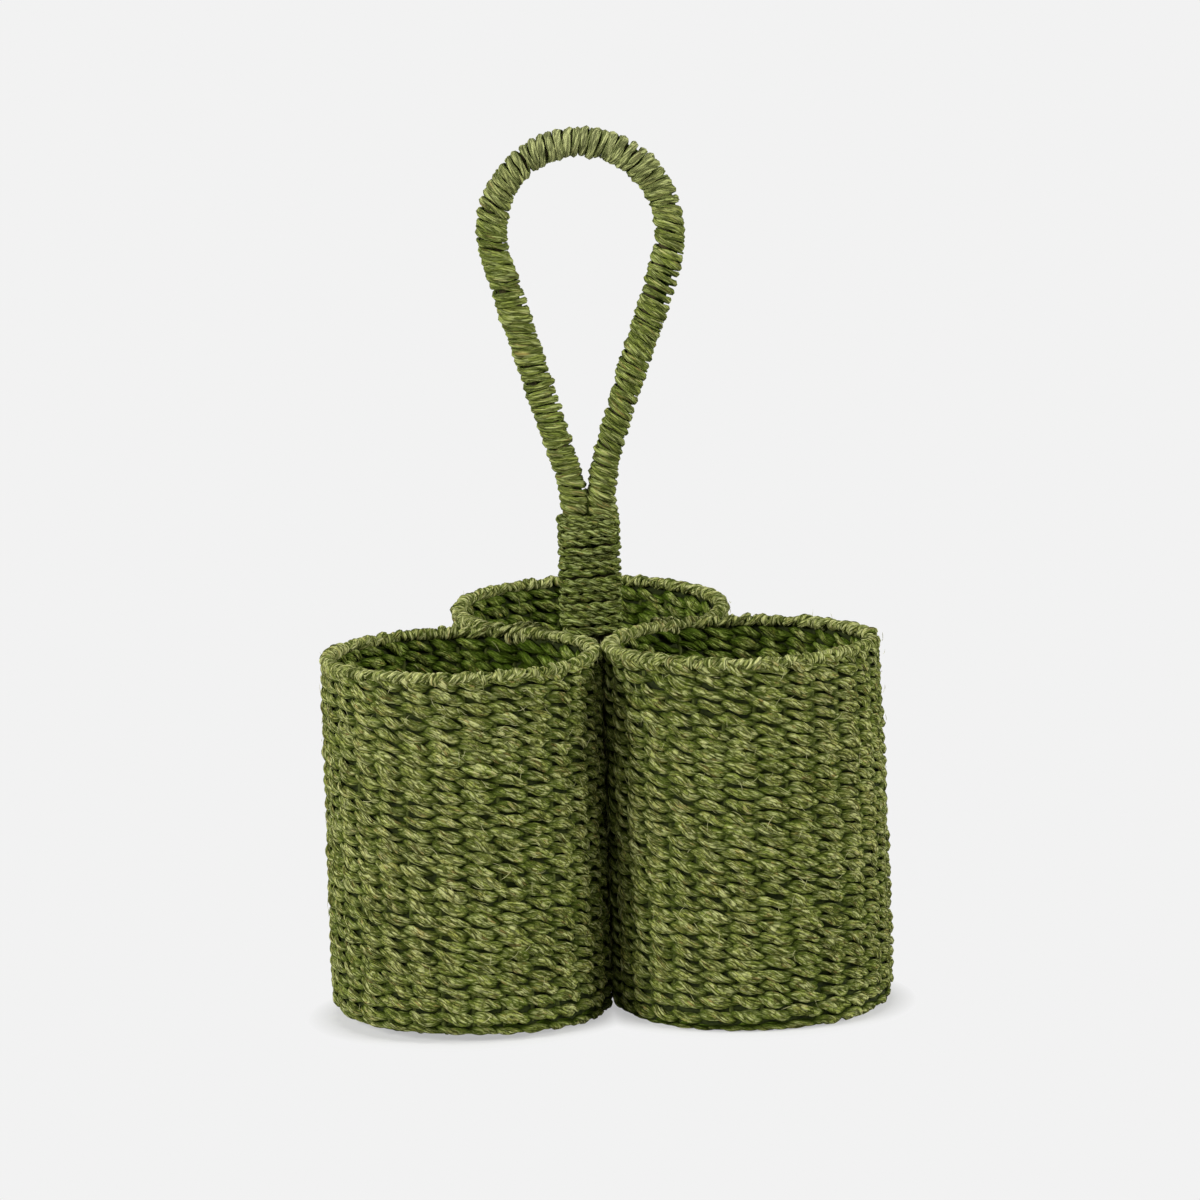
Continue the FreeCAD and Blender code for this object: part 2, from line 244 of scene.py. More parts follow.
grid = bmesh.new()
bmesh.ops.create_grid(grid, x_segments=1, y_segments=1, size=FLOOR_HALF)
floor_mesh = bpy.data.meshes.new("floor")
grid.to_mesh(floor_mesh)
grid.free()
floor = bpy.data.objects.new("floor", floor_mesh)
scene.collection.objects.link(floor)
paper = bpy.data.materials.new("pale_floor")
paper.use_nodes = True
tree = paper.node_tree
tree.nodes.clear()
path = tree.nodes.new("ShaderNodeLightPath")
spot = tree.nodes.new("ShaderNodeTexCoord")
# How far a spot is from the nearest cup.
clear = 1.0
for side in ("left", "right", "back"):
    low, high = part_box(f"{side}_cup_wall")
    reach = tree.nodes.new("ShaderNodeVectorMath")
    reach.operation = "DISTANCE"
    tree.links.new(spot.outputs["Object"], reach.inputs[0])
    reach.inputs[1].default_value = ((low[0] + high[0]) / 2, (low[1] + high[1]) / 2, 0)
    beside = sums(tree, "SUBTRACT", reach.outputs["Value"], (high[0] - low[0]) / 2)
    clear = sums(tree, "MINIMUM", beside, clear)
shown = spread(tree, clear, 0.0, CONTACT, 0.5, 1.0)
share = sums(tree, "MULTIPLY", path.outputs["Is Camera Ray"], shown)
lit = tree.nodes.new("ShaderNodeBsdfDiffuse")
lit.inputs["Color"].default_value = (FLOOR_GREY, FLOOR_GREY, FLOOR_GREY, 1)
glow = tree.nodes.new("ShaderNodeEmission")
glow.inputs["Color"].default_value = (PALE, PALE, PALE, 1)
mix_shaders(tree, share, lit, glow, "ShaderNodeOutputMaterial")
floor_mesh.materials.append(paper)
print("floor:", 2 * FLOOR_HALF, "m wide")

# %% [markdown]
# ## Yarn finish
# The yarn is two plies of abaca fibre twisted together. Each tube of yarn carries a UV map that holds its
# length in millimetres and the way round it in turns. One node group turns that map by the twist of the
# yarn, so that plies and fibres run round it in a helix with no seam; it also gives the grooves between
# them, which are painted as shade. A second group dyes it: olive, with greener and straw-coloured
# stretches, as a vat of plant fibre takes colour unevenly. It also reads how bare each spot of the yarn is
# and paints shade from that: the depth of the weave and the seams are painted dark, and the insides of
# the cups darker and greener. A strand here is metres long, and an image would repeat many times along
# it, so noise and cells that follow the map are used instead.

# %% Twist of the yarn
twist, entry, leave = new_group(
    "yarn_twist",
    [
        ("Length and Turn", "NodeSocketVector", None),
        ("Lay", "NodeSocketFloat", 18.0),
        ("Strips", "NodeSocketFloat", 3.0),
        ("Fineness", "NodeSocketFloat", 2.1),
        ("Fibre Length", "NodeSocketFloat", 3.2),
        ("Seed", "NodeSocketFloat", 0.0),
    ],
    [(label, "NodeSocketFloat") for label in ("Height", "Groove", "Fibre", "Hue", "Strip")],
)
parts = twist.nodes.new("ShaderNodeSeparateXYZ")
twist.links.new(entry.outputs["Length and Turn"], parts.inputs[0])
along, around = parts.outputs["X"], parts.outputs["Y"]
# The lay wanders, so that no two stitches show the same strips.
slow = triple(twist, sums(twist, "MULTIPLY", along, 0.05), entry.outputs["Seed"], 0.0)
wander = cloud(twist, slow, 1.0, 1.0)
turns = sums(twist, "DIVIDE", along, entry.outputs["Lay"])
turns = sums(twist, "ADD", turns, sums(twist, "MULTIPLY", wander, 0.9))
angle = sums(twist, "MULTIPLY", sums(twist, "SUBTRACT", around, turns), 2 * math.pi)
across_x, across_y = sums(twist, "COSINE", angle), sums(twist, "SINE", angle)
shuffle = cloud(twist, triple(twist, across_x, across_y, sums(twist, "MULTIPLY", along, 0.08)), 1.1, 1.0)
strip_angle = sums(twist, "MULTIPLY", sums(twist, "MULTIPLY", angle, entry.outputs["Strips"]), 0.5)
strip_angle = sums(twist, "ADD", strip_angle, sums(twist, "MULTIPLY", shuffle, 7.0))
strip = sums(twist, "ABSOLUTE", sums(twist, "COSINE", strip_angle))
fineness = entry.outputs["Fineness"]
fibre_x, fibre_y = sums(twist, "MULTIPLY", across_x, fineness), sums(twist, "MULTIPLY", across_y, fineness)
fibre_z = sums(twist, "DIVIDE", along, entry.outputs["Fibre Length"])
edge, fine, hue = fibres(twist, triple(twist, fibre_x, fibre_y, fibre_z))
fleck = cloud(twist, triple(twist, fibre_x, fibre_y, sums(twist, "MULTIPLY", fibre_z, 3.0)), 1.0, 1.0)
fine = sums(twist, "ADD", fine, sums(twist, "MULTIPLY", sums(twist, "SUBTRACT", fleck, 0.5), 0.8))
tone = cloud(twist, triple(twist, across_x, across_y, sums(twist, "MULTIPLY", along, 0.07)), 1.5, 1.0)
# Some stretches are loose flat bundles with hardly any relief.
loose = spread(
    twist,
    cloud(twist, triple(twist, sums(twist, "MULTIPLY", along, 0.09), 7.0, entry.outputs["Seed"]), 1.0, 1.0),
    0.5,
    0.62,
)
depth = sums(twist, "SUBTRACT", 1.0, sums(twist, "MULTIPLY", loose, 0.65))
# Painted shade: the grooves between strips and between fibres are darkened in the colour.
groove_shade = sums(twist, "MULTIPLY", spread(twist, strip, 0.0, 0.5, 0.8, 0.0), depth)
groove_shade = sums(twist, "MAXIMUM", groove_shade, spread(twist, edge, 0.45, 0.68, 0.0, 0.8))
height = sums(twist, "MULTIPLY", sums(twist, "POWER", strip, 0.55), sums(twist, "MULTIPLY", depth, 0.8))
height = sums(twist, "SUBTRACT", height, sums(twist, "MULTIPLY", edge, 0.5))
height = sums(twist, "ADD", height, sums(twist, "MULTIPLY", fine, 0.35))
height = sums(twist, "ADD", height, sums(twist, "MULTIPLY", tone, 0.6))
twist.links.new(height, leave.inputs["Height"])
twist.links.new(groove_shade, leave.inputs["Groove"])
twist.links.new(fine, leave.inputs["Fibre"])
twist.links.new(hue, leave.inputs["Hue"])
twist.links.new(tone, leave.inputs["Strip"])

# %% Dye of the fibre, and painted shade
OLIVE = (0.3, 0.335, 0.09, 1)
LEAF = (0.225, 0.275, 0.064, 1)
STRAW = (0.43, 0.405, 0.18, 1)
RUSSET = (0.31, 0.225, 0.085, 1)
# Pale straw of bleached fibre, which also carries painted light from above.
BLEACHED_AND_LIT = (0.43, 0.43, 0.25, 1)
PALE_FIBRE = (0.55, 0.58, 0.31, 1)
# Green of painted shade in the depth of the weave and at the seams.
SHADE_GREEN = (0.125, 0.19, 0.02, 1)
# Painted shade inside the cups, darker and greener.
INSIDE_SHADE_TINT = (0.69, 0.85, 0.44, 1)
# Colour of dark fibres, and of painted shade in grooves and in the depth of the weave.
DARK_FIBRE_AND_SHADE = (0.011, 0.0185, 0.0008, 1)
# Tint of the painted light on the top of the loop.
TOP_LIGHT_TINT = (1.05, 1.08, 0.82, 1)

dye, entry, leave = new_group(
    "uneven_dye",
    [
        ("Length and Turn", "NodeSocketVector", None),
        ("Place", "NodeSocketVector", None),
        ("Fibre", "NodeSocketFloat", 0.5),
        ("Hue", "NodeSocketFloat", 0.5),
        ("Strip", "NodeSocketFloat", 0.5),
        ("Groove", "NodeSocketFloat", 0.0),
        ("Exposed", "NodeSocketFloat", 1.0),
        ("Bleach", "NodeSocketFloat", 0.0),
        ("Contrast", "NodeSocketFloat", 1.0),
        ("Tint", "NodeSocketColor", (1, 1, 1, 1)),
        ("Seed", "NodeSocketFloat", 0.0),
    ],
    [("Colour", "NodeSocketColor"), ("Roughness", "NodeSocketFloat")],
)
parts = dye.nodes.new("ShaderNodeSeparateXYZ")
dye.links.new(entry.outputs["Length and Turn"], parts.inputs[0])
along = parts.outputs["X"]
stretch = cloud(dye, triple(dye, sums(dye, "MULTIPLY", along, 0.075), entry.outputs["Seed"], 3.0), 1.0, 2.0)
bundle = cloud(dye, triple(dye, sums(dye, "MULTIPLY", along, 0.2), 11.0, entry.outputs["Seed"]), 1.0, 1.0)
patch = cloud(dye, entry.outputs["Place"], 20.0, 2.0)
colour = blend_colours(dye, spread(dye, stretch, 0.36, 0.62), LEAF, OLIVE)
colour = blend_colours(dye, spread(dye, bundle, 0.56, 0.74, 0.0, 0.3), colour, STRAW)
colour = blend_colours(dye, spread(dye, patch, 0.5, 0.68, 0.0, 0.25), colour, STRAW)
colour = blend_colours(dye, spread(dye, stretch, 0.63, 0.76, 0.0, 0.55), colour, RUSSET)
colour = blend_colours(dye, spread(dye, entry.outputs["Hue"], 0.7, 0.95, 0.0, 0.5), colour, STRAW)
colour = blend_colours(dye, spread(dye, entry.outputs["Hue"], 0.3, 0.05, 0.0, 0.6), colour, LEAF)
colour = blend_colours(dye, spread(dye, entry.outputs["Hue"], 0.9, 0.97, 0.0, 0.8), colour, RUSSET)
colour = blend_colours(dye, entry.outputs["Bleach"], colour, BLEACHED_AND_LIT)
level = cloud(dye, triple(dye, sums(dye, "MULTIPLY", along, 0.11), 5.0, entry.outputs["Seed"]), 1.0, 1.0)
level = spread(dye, level, 0.3, 0.7, 0.88, 1.12)
colour = blend_colours(dye, 1.0, colour, triple(dye, level, level, level), "MULTIPLY")
contrast = entry.outputs["Contrast"]
pale = spread(dye, entry.outputs["Strip"], 0.52, 0.7, 0.0, 0.3)
colour = blend_colours(dye, sums(dye, "MULTIPLY", pale, contrast), colour, PALE_FIBRE)
dark = spread(dye, entry.outputs["Strip"], 0.46, 0.3, 0.0, 0.35)
colour = blend_colours(dye, sums(dye, "MULTIPLY", dark, contrast), colour, DARK_FIBRE_AND_SHADE)
pale = spread(dye, entry.outputs["Fibre"], 0.58, 0.82, 0.0, 0.75)
colour = blend_colours(dye, sums(dye, "MULTIPLY", pale, contrast), colour, PALE_FIBRE)
dark = spread(dye, entry.outputs["Fibre"], 0.42, 0.16, 0.0, 0.85)
colour = blend_colours(dye, sums(dye, "MULTIPLY", dark, contrast), colour, DARK_FIBRE_AND_SHADE)
# Painted shade in the grooves of the yarn.
colour = blend_colours(dye, sums(dye, "MULTIPLY", entry.outputs["Groove"], 0.8), colour, DARK_FIBRE_AND_SHADE)
colour = blend_colours(dye, 1.0, colour, entry.outputs["Tint"], "MULTIPLY")
# Painted shade: the depth of the weave is painted darker and greener, and the insides of the cups, which
# have a bareness below zero, darker and greener still.
bare = sums(dye, "ABSOLUTE", entry.outputs["Exposed"])
within = spread(dye, entry.outputs["Exposed"], -0.1, 0.0, 1.0, 0.0)
colour = blend_colours(dye, spread(dye, bare, 0.3, 0.8, 0.65, 0.0), colour, SHADE_GREEN)
inside_shade = sums(dye, "MULTIPLY", within, spread(dye, bare, 0.4, 1.0, 1.0, 0.2))
colour = blend_colours(dye, inside_shade, colour, INSIDE_SHADE_TINT, "MULTIPLY")
colour = blend_colours(dye, spread(dye, bare, 0.14, 0.62, 0.96, 0.0), colour, DARK_FIBRE_AND_SHADE)
dye.links.new(colour, leave.inputs["Colour"])
dye.links.new(spread(dye, entry.outputs["Fibre"], 0.2, 1.0, 0.8, 0.5), leave.inputs["Roughness"])
print("groups:", [g.name for g in bpy.data.node_groups])

# %% Yarn materials
# How much paler the painted light from above makes the top of the loop.
TOP_LIGHT_PALENESS = 0.9


def yarn_finish(
    name,
    lay,
    seed,
    bump,
    bleach_and_top_light=0.0,
    tint=(1, 1, 1),
    contrast=0.9,
    fineness=2.3,
    fibre=2.0,
    lit_top=None,
    gloss=0.02,
):
    """A material for tubes of yarn, read from their UV map.

    The lay is the millimetres in which the yarn twists once round. Given a pair of heights for the top
    light, it is painted paler and lighter from the lower to the upper one, as light from above.
    """
    material = bpy.data.materials.new(name)
    material.use_nodes = True
    tree = material.node_tree
    shader = tree.nodes["Principled BSDF"]
    uv = tree.nodes.new("ShaderNodeUVMap")
    uv.uv_map = "UVMap"
    place = tree.nodes.new("ShaderNodeTexCoord")
    twisting = tree.nodes.new("ShaderNodeGroup")
    twisting.node_tree = twist
    twisting.inputs["Lay"].default_value = lay
    twisting.inputs["Fibre Length"].default_value = fibre
    twisting.inputs["Fineness"].default_value = fineness
    twisting.inputs["Seed"].default_value = seed
    dye_and_shade = tree.nodes.new("ShaderNodeGroup")
    dye_and_shade.node_tree = dye
    dye_and_shade.inputs["Seed"].default_value = seed
    dye_and_shade.inputs["Bleach"].default_value = bleach_and_top_light
    dye_and_shade.inputs["Contrast"].default_value = contrast
    dye_and_shade.inputs["Tint"].default_value = (*tint, 1)
    # Painted light from above: higher up, the yarn is painted paler.
    if lit_top:
        parts = tree.nodes.new("ShaderNodeSeparateXYZ")
        tree.links.new(place.outputs["Object"], parts.inputs[0])
        top_lit = spread(tree, parts.outputs["Z"], *lit_top, bleach_and_top_light, bleach_and_top_light + TOP_LIGHT_PALENESS)
        tree.links.new(top_lit, dye_and_shade.inputs["Bleach"])
        paler = blend_colours(tree, spread(tree, parts.outputs["Z"], *lit_top), (*tint, 1), TOP_LIGHT_TINT)
        tree.links.new(paler, dye_and_shade.inputs["Tint"])
    bare = tree.nodes.new("ShaderNodeAttribute")
    bare.attribute_name = "exposed"
    tree.links.new(bare.outputs["Fac"], dye_and_shade.inputs["Exposed"])
    tree.links.new(uv.outputs["UV"], twisting.inputs["Length and Turn"])
    tree.links.new(uv.outputs["UV"], dye_and_shade.inputs["Length and Turn"])
    tree.links.new(place.outputs["Object"], dye_and_shade.inputs["Place"])
    for label in ("Fibre", "Hue", "Strip", "Groove"):
        tree.links.new(twisting.outputs[label], dye_and_shade.inputs[label])
    relief = tree.nodes.new("ShaderNodeBump")
    relief.inputs["Strength"].default_value = 1.0
    relief.inputs["Distance"].default_value = bump * MM
    tree.links.new(twisting.outputs["Height"], relief.inputs["Height"])
    tree.links.new(dye_and_shade.outputs["Colour"], shader.inputs["Base Color"])
    tree.links.new(dye_and_shade.outputs["Roughness"], shader.inputs["Roughness"])
    tree.links.new(relief.outputs["Normal"], shader.inputs["Normal"])
    shader.inputs["Specular IOR Level"].default_value = gloss
    return material


weft_finish = [
    yarn_finish(f"weft_yarn_{n}", 60.0, 3.7 * n, 0.9, tint=(1.08, 1.06, 0.88), contrast=0.82)
    for n in (1, 2)
]
# The rim yarn is painted paler than the wall: partly its straw colour, partly painted light from above.
rim_finish = yarn_finish("rim_yarn", 40.0, 21.0, 0.6, bleach_and_top_light=0.2, tint=(1.2, 1.16, 0.97), contrast=1.0)
stem_finish = yarn_finish("stem_yarn", 60.0, 27.0, 0.6, tint=(0.86, 0.92, 0.66))
# The loop's yarn is painted paler towards its top, as light from above.
loop_finish = yarn_finish(
    "loop_yarn",
    60.0,
    33.0,
    0.5,
    tint=(0.9, 0.93, 0.68),
    contrast=0.65,
    fineness=1.8,
    fibre=4.0,
    lit_top=(0.278, 0.31),
    gloss=0.06,
)
print("yarn materials:", [m.name for m in (*weft_finish, rim_finish, stem_finish, loop_finish)])

# %% [markdown]
# Stakes, cane, felted fibre and single hairs hardly show, so a simple finish does for them: two colours,
# mixed by a noise that is stretched along the grain. It is read from the place of a spot, which needs no
# map.

# %% Plain materials


def plain_finish(name, dark, light, grain):
    """A fibre material for pieces without a yarn map, mottled along one axis of their place."""
    material = bpy.data.materials.new(name)
    material.use_nodes = True
    tree = material.node_tree
    shader = tree.nodes["Principled BSDF"]
    place = tree.nodes.new("ShaderNodeTexCoord")
    stretched = tree.nodes.new("ShaderNodeMapping")
    stretched.inputs["Scale"].default_value = grain
    tree.links.new(place.outputs["Object"], stretched.inputs["Vector"])
    share = spread(tree, cloud(tree, stretched.outputs["Vector"], 1.0, 3.0, 0.6), 0.35, 0.65)
    tree.links.new(blend_colours(tree, share, dark, light), shader.inputs["Base Color"])
    shader.inputs["Roughness"].default_value = 0.85
    shader.inputs["Specular IOR Level"].default_value = 0.15
    return material


stake_finish = plain_finish("stake_cord", (0.03, 0.04, 0.006, 1), (0.09, 0.11, 0.022, 1), (900, 900, 120))
# Felted fibre painted nearly black, as the shade deep in a wall.
felt_shade_finish = plain_finish(
    "felted_fibre", (0.006, 0.01, 0.0008, 1), (0.028, 0.038, 0.006, 1), (500, 500, 900)
)
# The cane is painted darker than bare cane, as the shade it shows in between the turns.
cane_finish = plain_finish("cane", (0.03, 0.028, 0.009, 1), (0.07, 0.06, 0.022, 1), (900, 900, 60))
hair_finish = plain_finish("loose_fibre", (0.3, 0.31, 0.12, 1), (0.55, 0.53, 0.28, 1), (90, 90, 90))
print("all materials:", len(bpy.data.materials))

# %% [markdown]
# ## Tubes of yarn
# Almost all that shows is yarn laid along a path: twined, wound or wrapped. Cylinders set end to end would
# gape at every bend. A curve with a round bevel makes each tube in one step, whatever its length. Its
# rings are then pressed to the section that yarn takes there, flatter where it is pulled over something,
# and the two ends are drawn to a point. The bake map lays the long strip out in rows, one under another,
# so that no part of it is squeezed.

# %% Section of the yarn
# Half the thickness of a wall.
HALF_WALL = 3 * MM
# Height of the lowest yarn above the floor.
SOLE = 0.05 * MM


def unit(vectors):
    """The same directions with a length of 1."""
    return vectors / np.linalg.norm(vectors, axis=-1, keepdims=True)


def walk(path):
    """Length walked along a path, at each of its points."""
    return np.concatenate([[0], np.cumsum(np.linalg.norm(np.diff(path, axis=0), axis=1))])


def directions(path, out):
    """At each point of a path: the way along it, the way out square to that, and the way to its side."""
    along = unit(np.gradient(path, axis=0))
    out = unit(out - along * np.sum(out * along, axis=1, keepdims=True))
    return along, out, np.cross(along, out)


def press_ring(rings, run):
    """Moves one run's rings of vertices to the yarn's section: thick along out, tall across it.

    Also returns how bare each vertex is: 0 deep in the weave, 1 on its outer face, and down to -1 on the
    crowns of the stitches inside. The dye paints shade from it.
    """
    path, out, thick, tall, depth = run
    along, out, side = directions(path, out)
    # The curve's own rings turn about where it stands upright, so only the sense of their order is kept.
    first, second = rings[:, 0] - path, rings[:, 1] - path
    sense = np.sign(np.median(np.sum(np.cross(first, second) * along, axis=1)))
    count = rings.shape[1]
    angle = math.pi + sense * 2 * math.pi * np.arange(count) / count
    taper = np.ones(len(path))
    taper[[0, -1]] = 0
    taper[[1, -2]] = 0.7
    exposed = depth[:, None] + np.cos(angle) * (thick / HALF_WALL)[:, None]
    exposed = np.where(exposed < 0, -np.abs(exposed) ** 1.5, exposed)
    x = np.cos(angle) * (thick * taper)[:, None]
    y = np.sin(angle) * (tall * taper)[:, None]
    rings = path[:, None, :] + x[..., None] * out[:, None, :] + y[..., None] * side[:, None, :]
    # What the carrier stands on presses the yarn flat.
    rings[..., 2] = np.maximum(rings[..., 2], SOLE)
    return rings, exposed


# %% Object of yarn


def yarn_piece(name, runs, finish, sides=10, body="carrier"):
    """One object of yarn tubes.

    Each run is a path, the way out of what it lies on, its two half sizes, and its depth: how far it stands
    off the middle of the weave, as a share of half the wall. A piece given no body is left unattached.
    """
    curve = bpy.data.curves.new(name, "CURVE")
    curve.dimensions = "3D"
    curve.twist_mode = "Z_UP"
    curve.bevel_depth = MM
    curve.bevel_resolution = sides // 2 - 2
    for path, *_ in runs:
        spline = curve.splines.new("POLY")
        spline.points.add(len(path) - 1)
        spline.points.foreach_set("co", np.column_stack([path, np.ones(len(path))]).ravel())
    holder = bpy.data.objects.new(name, curve)
    scene.collection.objects.link(holder)
    mesh = bpy.data.meshes.new_from_object(holder.evaluated_get(bpy.context.evaluated_depsgraph_get()))
    bpy.data.objects.remove(holder)
    bpy.data.curves.remove(curve)

    points = np.empty(len(mesh.vertices) * 3)
    mesh.vertices.foreach_get("co", points)
    points = points.reshape(-1, sides, 3)
    exposed = np.empty(points.shape[:2])
    first = 0
    for run in runs:
        last = first + len(run[0])
        points[first:last], exposed[first:last] = press_ring(points[first:last], run)
        first = last
    mesh.vertices.foreach_set("co", points.ravel())
    # How bare each spot is; the dye paints shade from it.
    mesh.attributes.new("exposed", "FLOAT", "POINT").data.foreach_set("value", exposed.ravel())
    lay_out(mesh, runs, sides)
    mesh.polygons.foreach_set("use_smooth", np.ones(len(mesh.polygons), dtype=bool))
    close_ends(mesh, runs, sides)
    mesh.name = name
    mesh.materials.append(finish)
    piece = bpy.data.objects.new(name, mesh)
    scene.collection.objects.link(piece)
    if body:
        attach(piece, body)
    return piece


# %% Maps and ends of the yarn
# Millimetres between the maps of two runs, so that they don't show the same stretch of dye.
RUN_APART = 137.0


def lay_out(mesh, runs, sides):
    """Writes the yarn's own map, in millimetres and turns, and the map that a bake uses."""
    corner = np.empty(len(mesh.loops), dtype=np.int32)
    mesh.loops.foreach_get("vertex_index", corner)
    turn = np.empty(len(mesh.loops) * 2, dtype=np.float32)
    mesh.uv_layers[0].data.foreach_get("uv", turn)
    turn = turn.reshape(-1, 2)[:, 1]
    ring = corner // sides
    lengths, strips, strip_start, shift = [], [], [], 0.0
    total = sum(walk(r[0])[-1] for r in runs)
    girth = np.mean([np.mean(r[2]) + np.mean(r[3]) for r in runs]) * math.pi
    strip_length = math.sqrt(total * girth)
    count = 0
    for path, *_ in runs:
        length = walk(path)
        lengths.append(length / MM + shift)
        shift += length[-1] / MM + RUN_APART
        number = max(1, math.ceil(length[-1] / strip_length))
        per = math.ceil((len(path) - 1) / number)
        index = np.arange(len(path)) // per
        strips.append(index + count)
        strip_start.append(index * per)
        count += int(index[-1]) + 1
    starts = np.cumsum([0] + [len(r[0]) for r in runs])
    run_start = np.repeat(starts[:-1], [len(r[0]) for r in runs])
    length = np.concatenate(lengths)
    own = np.column_stack([length[ring], turn]).astype(np.float32)
    mesh.uv_layers[0].name = "UVMap"
    mesh.uv_layers[0].data.foreach_set("uv", own.ravel())
    # A face belongs to the strip of its first ring.
    low = ring.reshape(-1, 4).min(axis=1).repeat(4)
    strip = np.concatenate(strips)[low]
    start = (run_start + np.concatenate(strip_start))[low]
    widest = max(len(r[0]) for r in runs)
    widest = min(widest, int(np.max(np.bincount(np.concatenate(strips)))))
    bake = np.column_stack([(ring - start) / widest * 0.98 + 0.01, (strip + 0.04 + 0.92 * turn) / count])
    layer = mesh.uv_layers.new(name="OFBake")
    layer.data.foreach_set("uv", bake.astype(np.float32).ravel())
    mesh.uv_layers.active = mesh.uv_layers["UVMap"]
    mesh.uv_layers["UVMap"].active_render = True


def close_ends(mesh, runs, sides):
    """Merges the two end rings of each run, which have no size, into one point each."""
    shell = bmesh.new()
    shell.from_mesh(mesh)
    shell.verts.ensure_lookup_table()
    ends, first = [], 0
    for path, *_ in runs:
        last = first + len(path) * sides
        ends += shell.verts[first : first + sides]
        ends += shell.verts[last - sides : last]
        first = last
    bmesh.ops.remove_doubles(shell, verts=ends, dist=1e-6)
    shell.to_mesh(mesh)
    shell.free()


# %% Plies
# Sizes of a ply, as shares of the yarn's, before the shift of its middle is taken off.
PLY_THICK, PLY_TALL = 1.09, 1.03


def plies(run, lay, rng, apart=0.4):
    """Splits a run of yarn into its two plies, which turn round each other once in each lay.

    Their middles stand apart by a share of the yarn's size.
    """
    path, out, thick, tall, depth = run
    _, out, side = directions(path, out)
    length = walk(path)
    marks = np.arange(0, length[-1] + 3 * lay, lay)
    angle = 2 * math.pi * length / lay + np.interp(length, marks, np.cumsum(rng.normal(0, 0.9, len(marks))))
    pair = []
    for half_turn in (0, math.pi):
        x = apart * thick * np.cos(angle + half_turn)
        y = (apart + 0.05) * tall * np.sin(angle + half_turn)
        swell = np.interp(length, marks, 1 + rng.normal(0, 0.12, len(marks)))
        line = path + out * x[:, None] + side * y[:, None]
        sizes = (PLY_THICK - apart) * thick * swell, (PLY_TALL - apart) * tall * swell
        pair.append((line, out, *sizes, depth + x / HALF_WALL))
    return pair


# %% [markdown]
# ## Twined walls
# The wall is weft twining. Two strands of yarn work their way round together. Each passes in front of one
# stake and behind the next, and between stakes the two change places, so every stake is held in a twist.
# The stitch in front lies on a slant, down to the right. Round follows round in one long climb from the
# foot to the rim. Counting stitches in the photo gives 28 stakes, and rows a little over 4 mm apart. Relief
# painted on a plain wall would look flat along the outline, so the strands themselves are laid. No cup is
# quite true: their feet are rounder on one side than on the other, their rims rise and dip, and where two
# cups are sewn together they press flat. Those few millimetres are kept apart from the sizes of the CAD.

# %% Cup sizes
STAKES = 28
ROW = 4.38 * MM
# Rounding of a true foot, outside.
FOOT = 7.5 * MM
# The weave ends this far below the top of the rim.
RIM_DROP = 2.7 * MM
# Two cups press into each other by this much on either side of a seam, and by more below a height.
PRESS, LOW_PRESS, LOW_HEIGHT = 0.6 * MM, 2.4, 26 * MM
# The lowest rows sag by this much, from a height down, and the lifted part of a foot faces this way.
SAG, SAG_HEIGHT = 1.8 * MM, 12 * MM
TREAD_SIDE = math.radians(246)
# How each hand-made cup strays from its true shape:
# foot: the rounding of its foot, and what is added to that at the right and taken off at the left,
# tread: how far one side of the foot is off the floor,
# spread: how far the foot spreads to the right, and to the left,
# drawn: how far the rim is drawn in at the right,
# raised: how far the rim stands up all round, how much more at the right, and how much more at the back,
# seams: the directions of the two cups beside it, in degrees.
HAND_MADE = {
    "left": {
        "foot": (7.0 * MM, -3.0 * MM),
        "tread": 2.3 * MM,
        "spread": (0.0, 0.5 * MM),
        "drawn": 0.0,
        "raised": (0.6 * MM, 0.0, 0.7 * MM),
        "seams": (0, 60),
    },
    "right": {
        "foot": (5.3 * MM, 1.3 * MM),
        "tread": 0.0,
        "spread": (1.4 * MM, 0.0),
        "drawn": 1.3 * MM,
        "raised": (0.2 * MM, 0.0, 0.2 * MM),
        "seams": (180, 120),
    },
    "back": {
        "foot": (FOOT, 0.0),
        "tread": 0.0,
        "spread": (0.0, 0.0),
        "drawn": 0.0,
        "raised": (-0.4 * MM, -0.5 * MM, 3.0 * MM),
        "seams": (240, 300),
    },
}


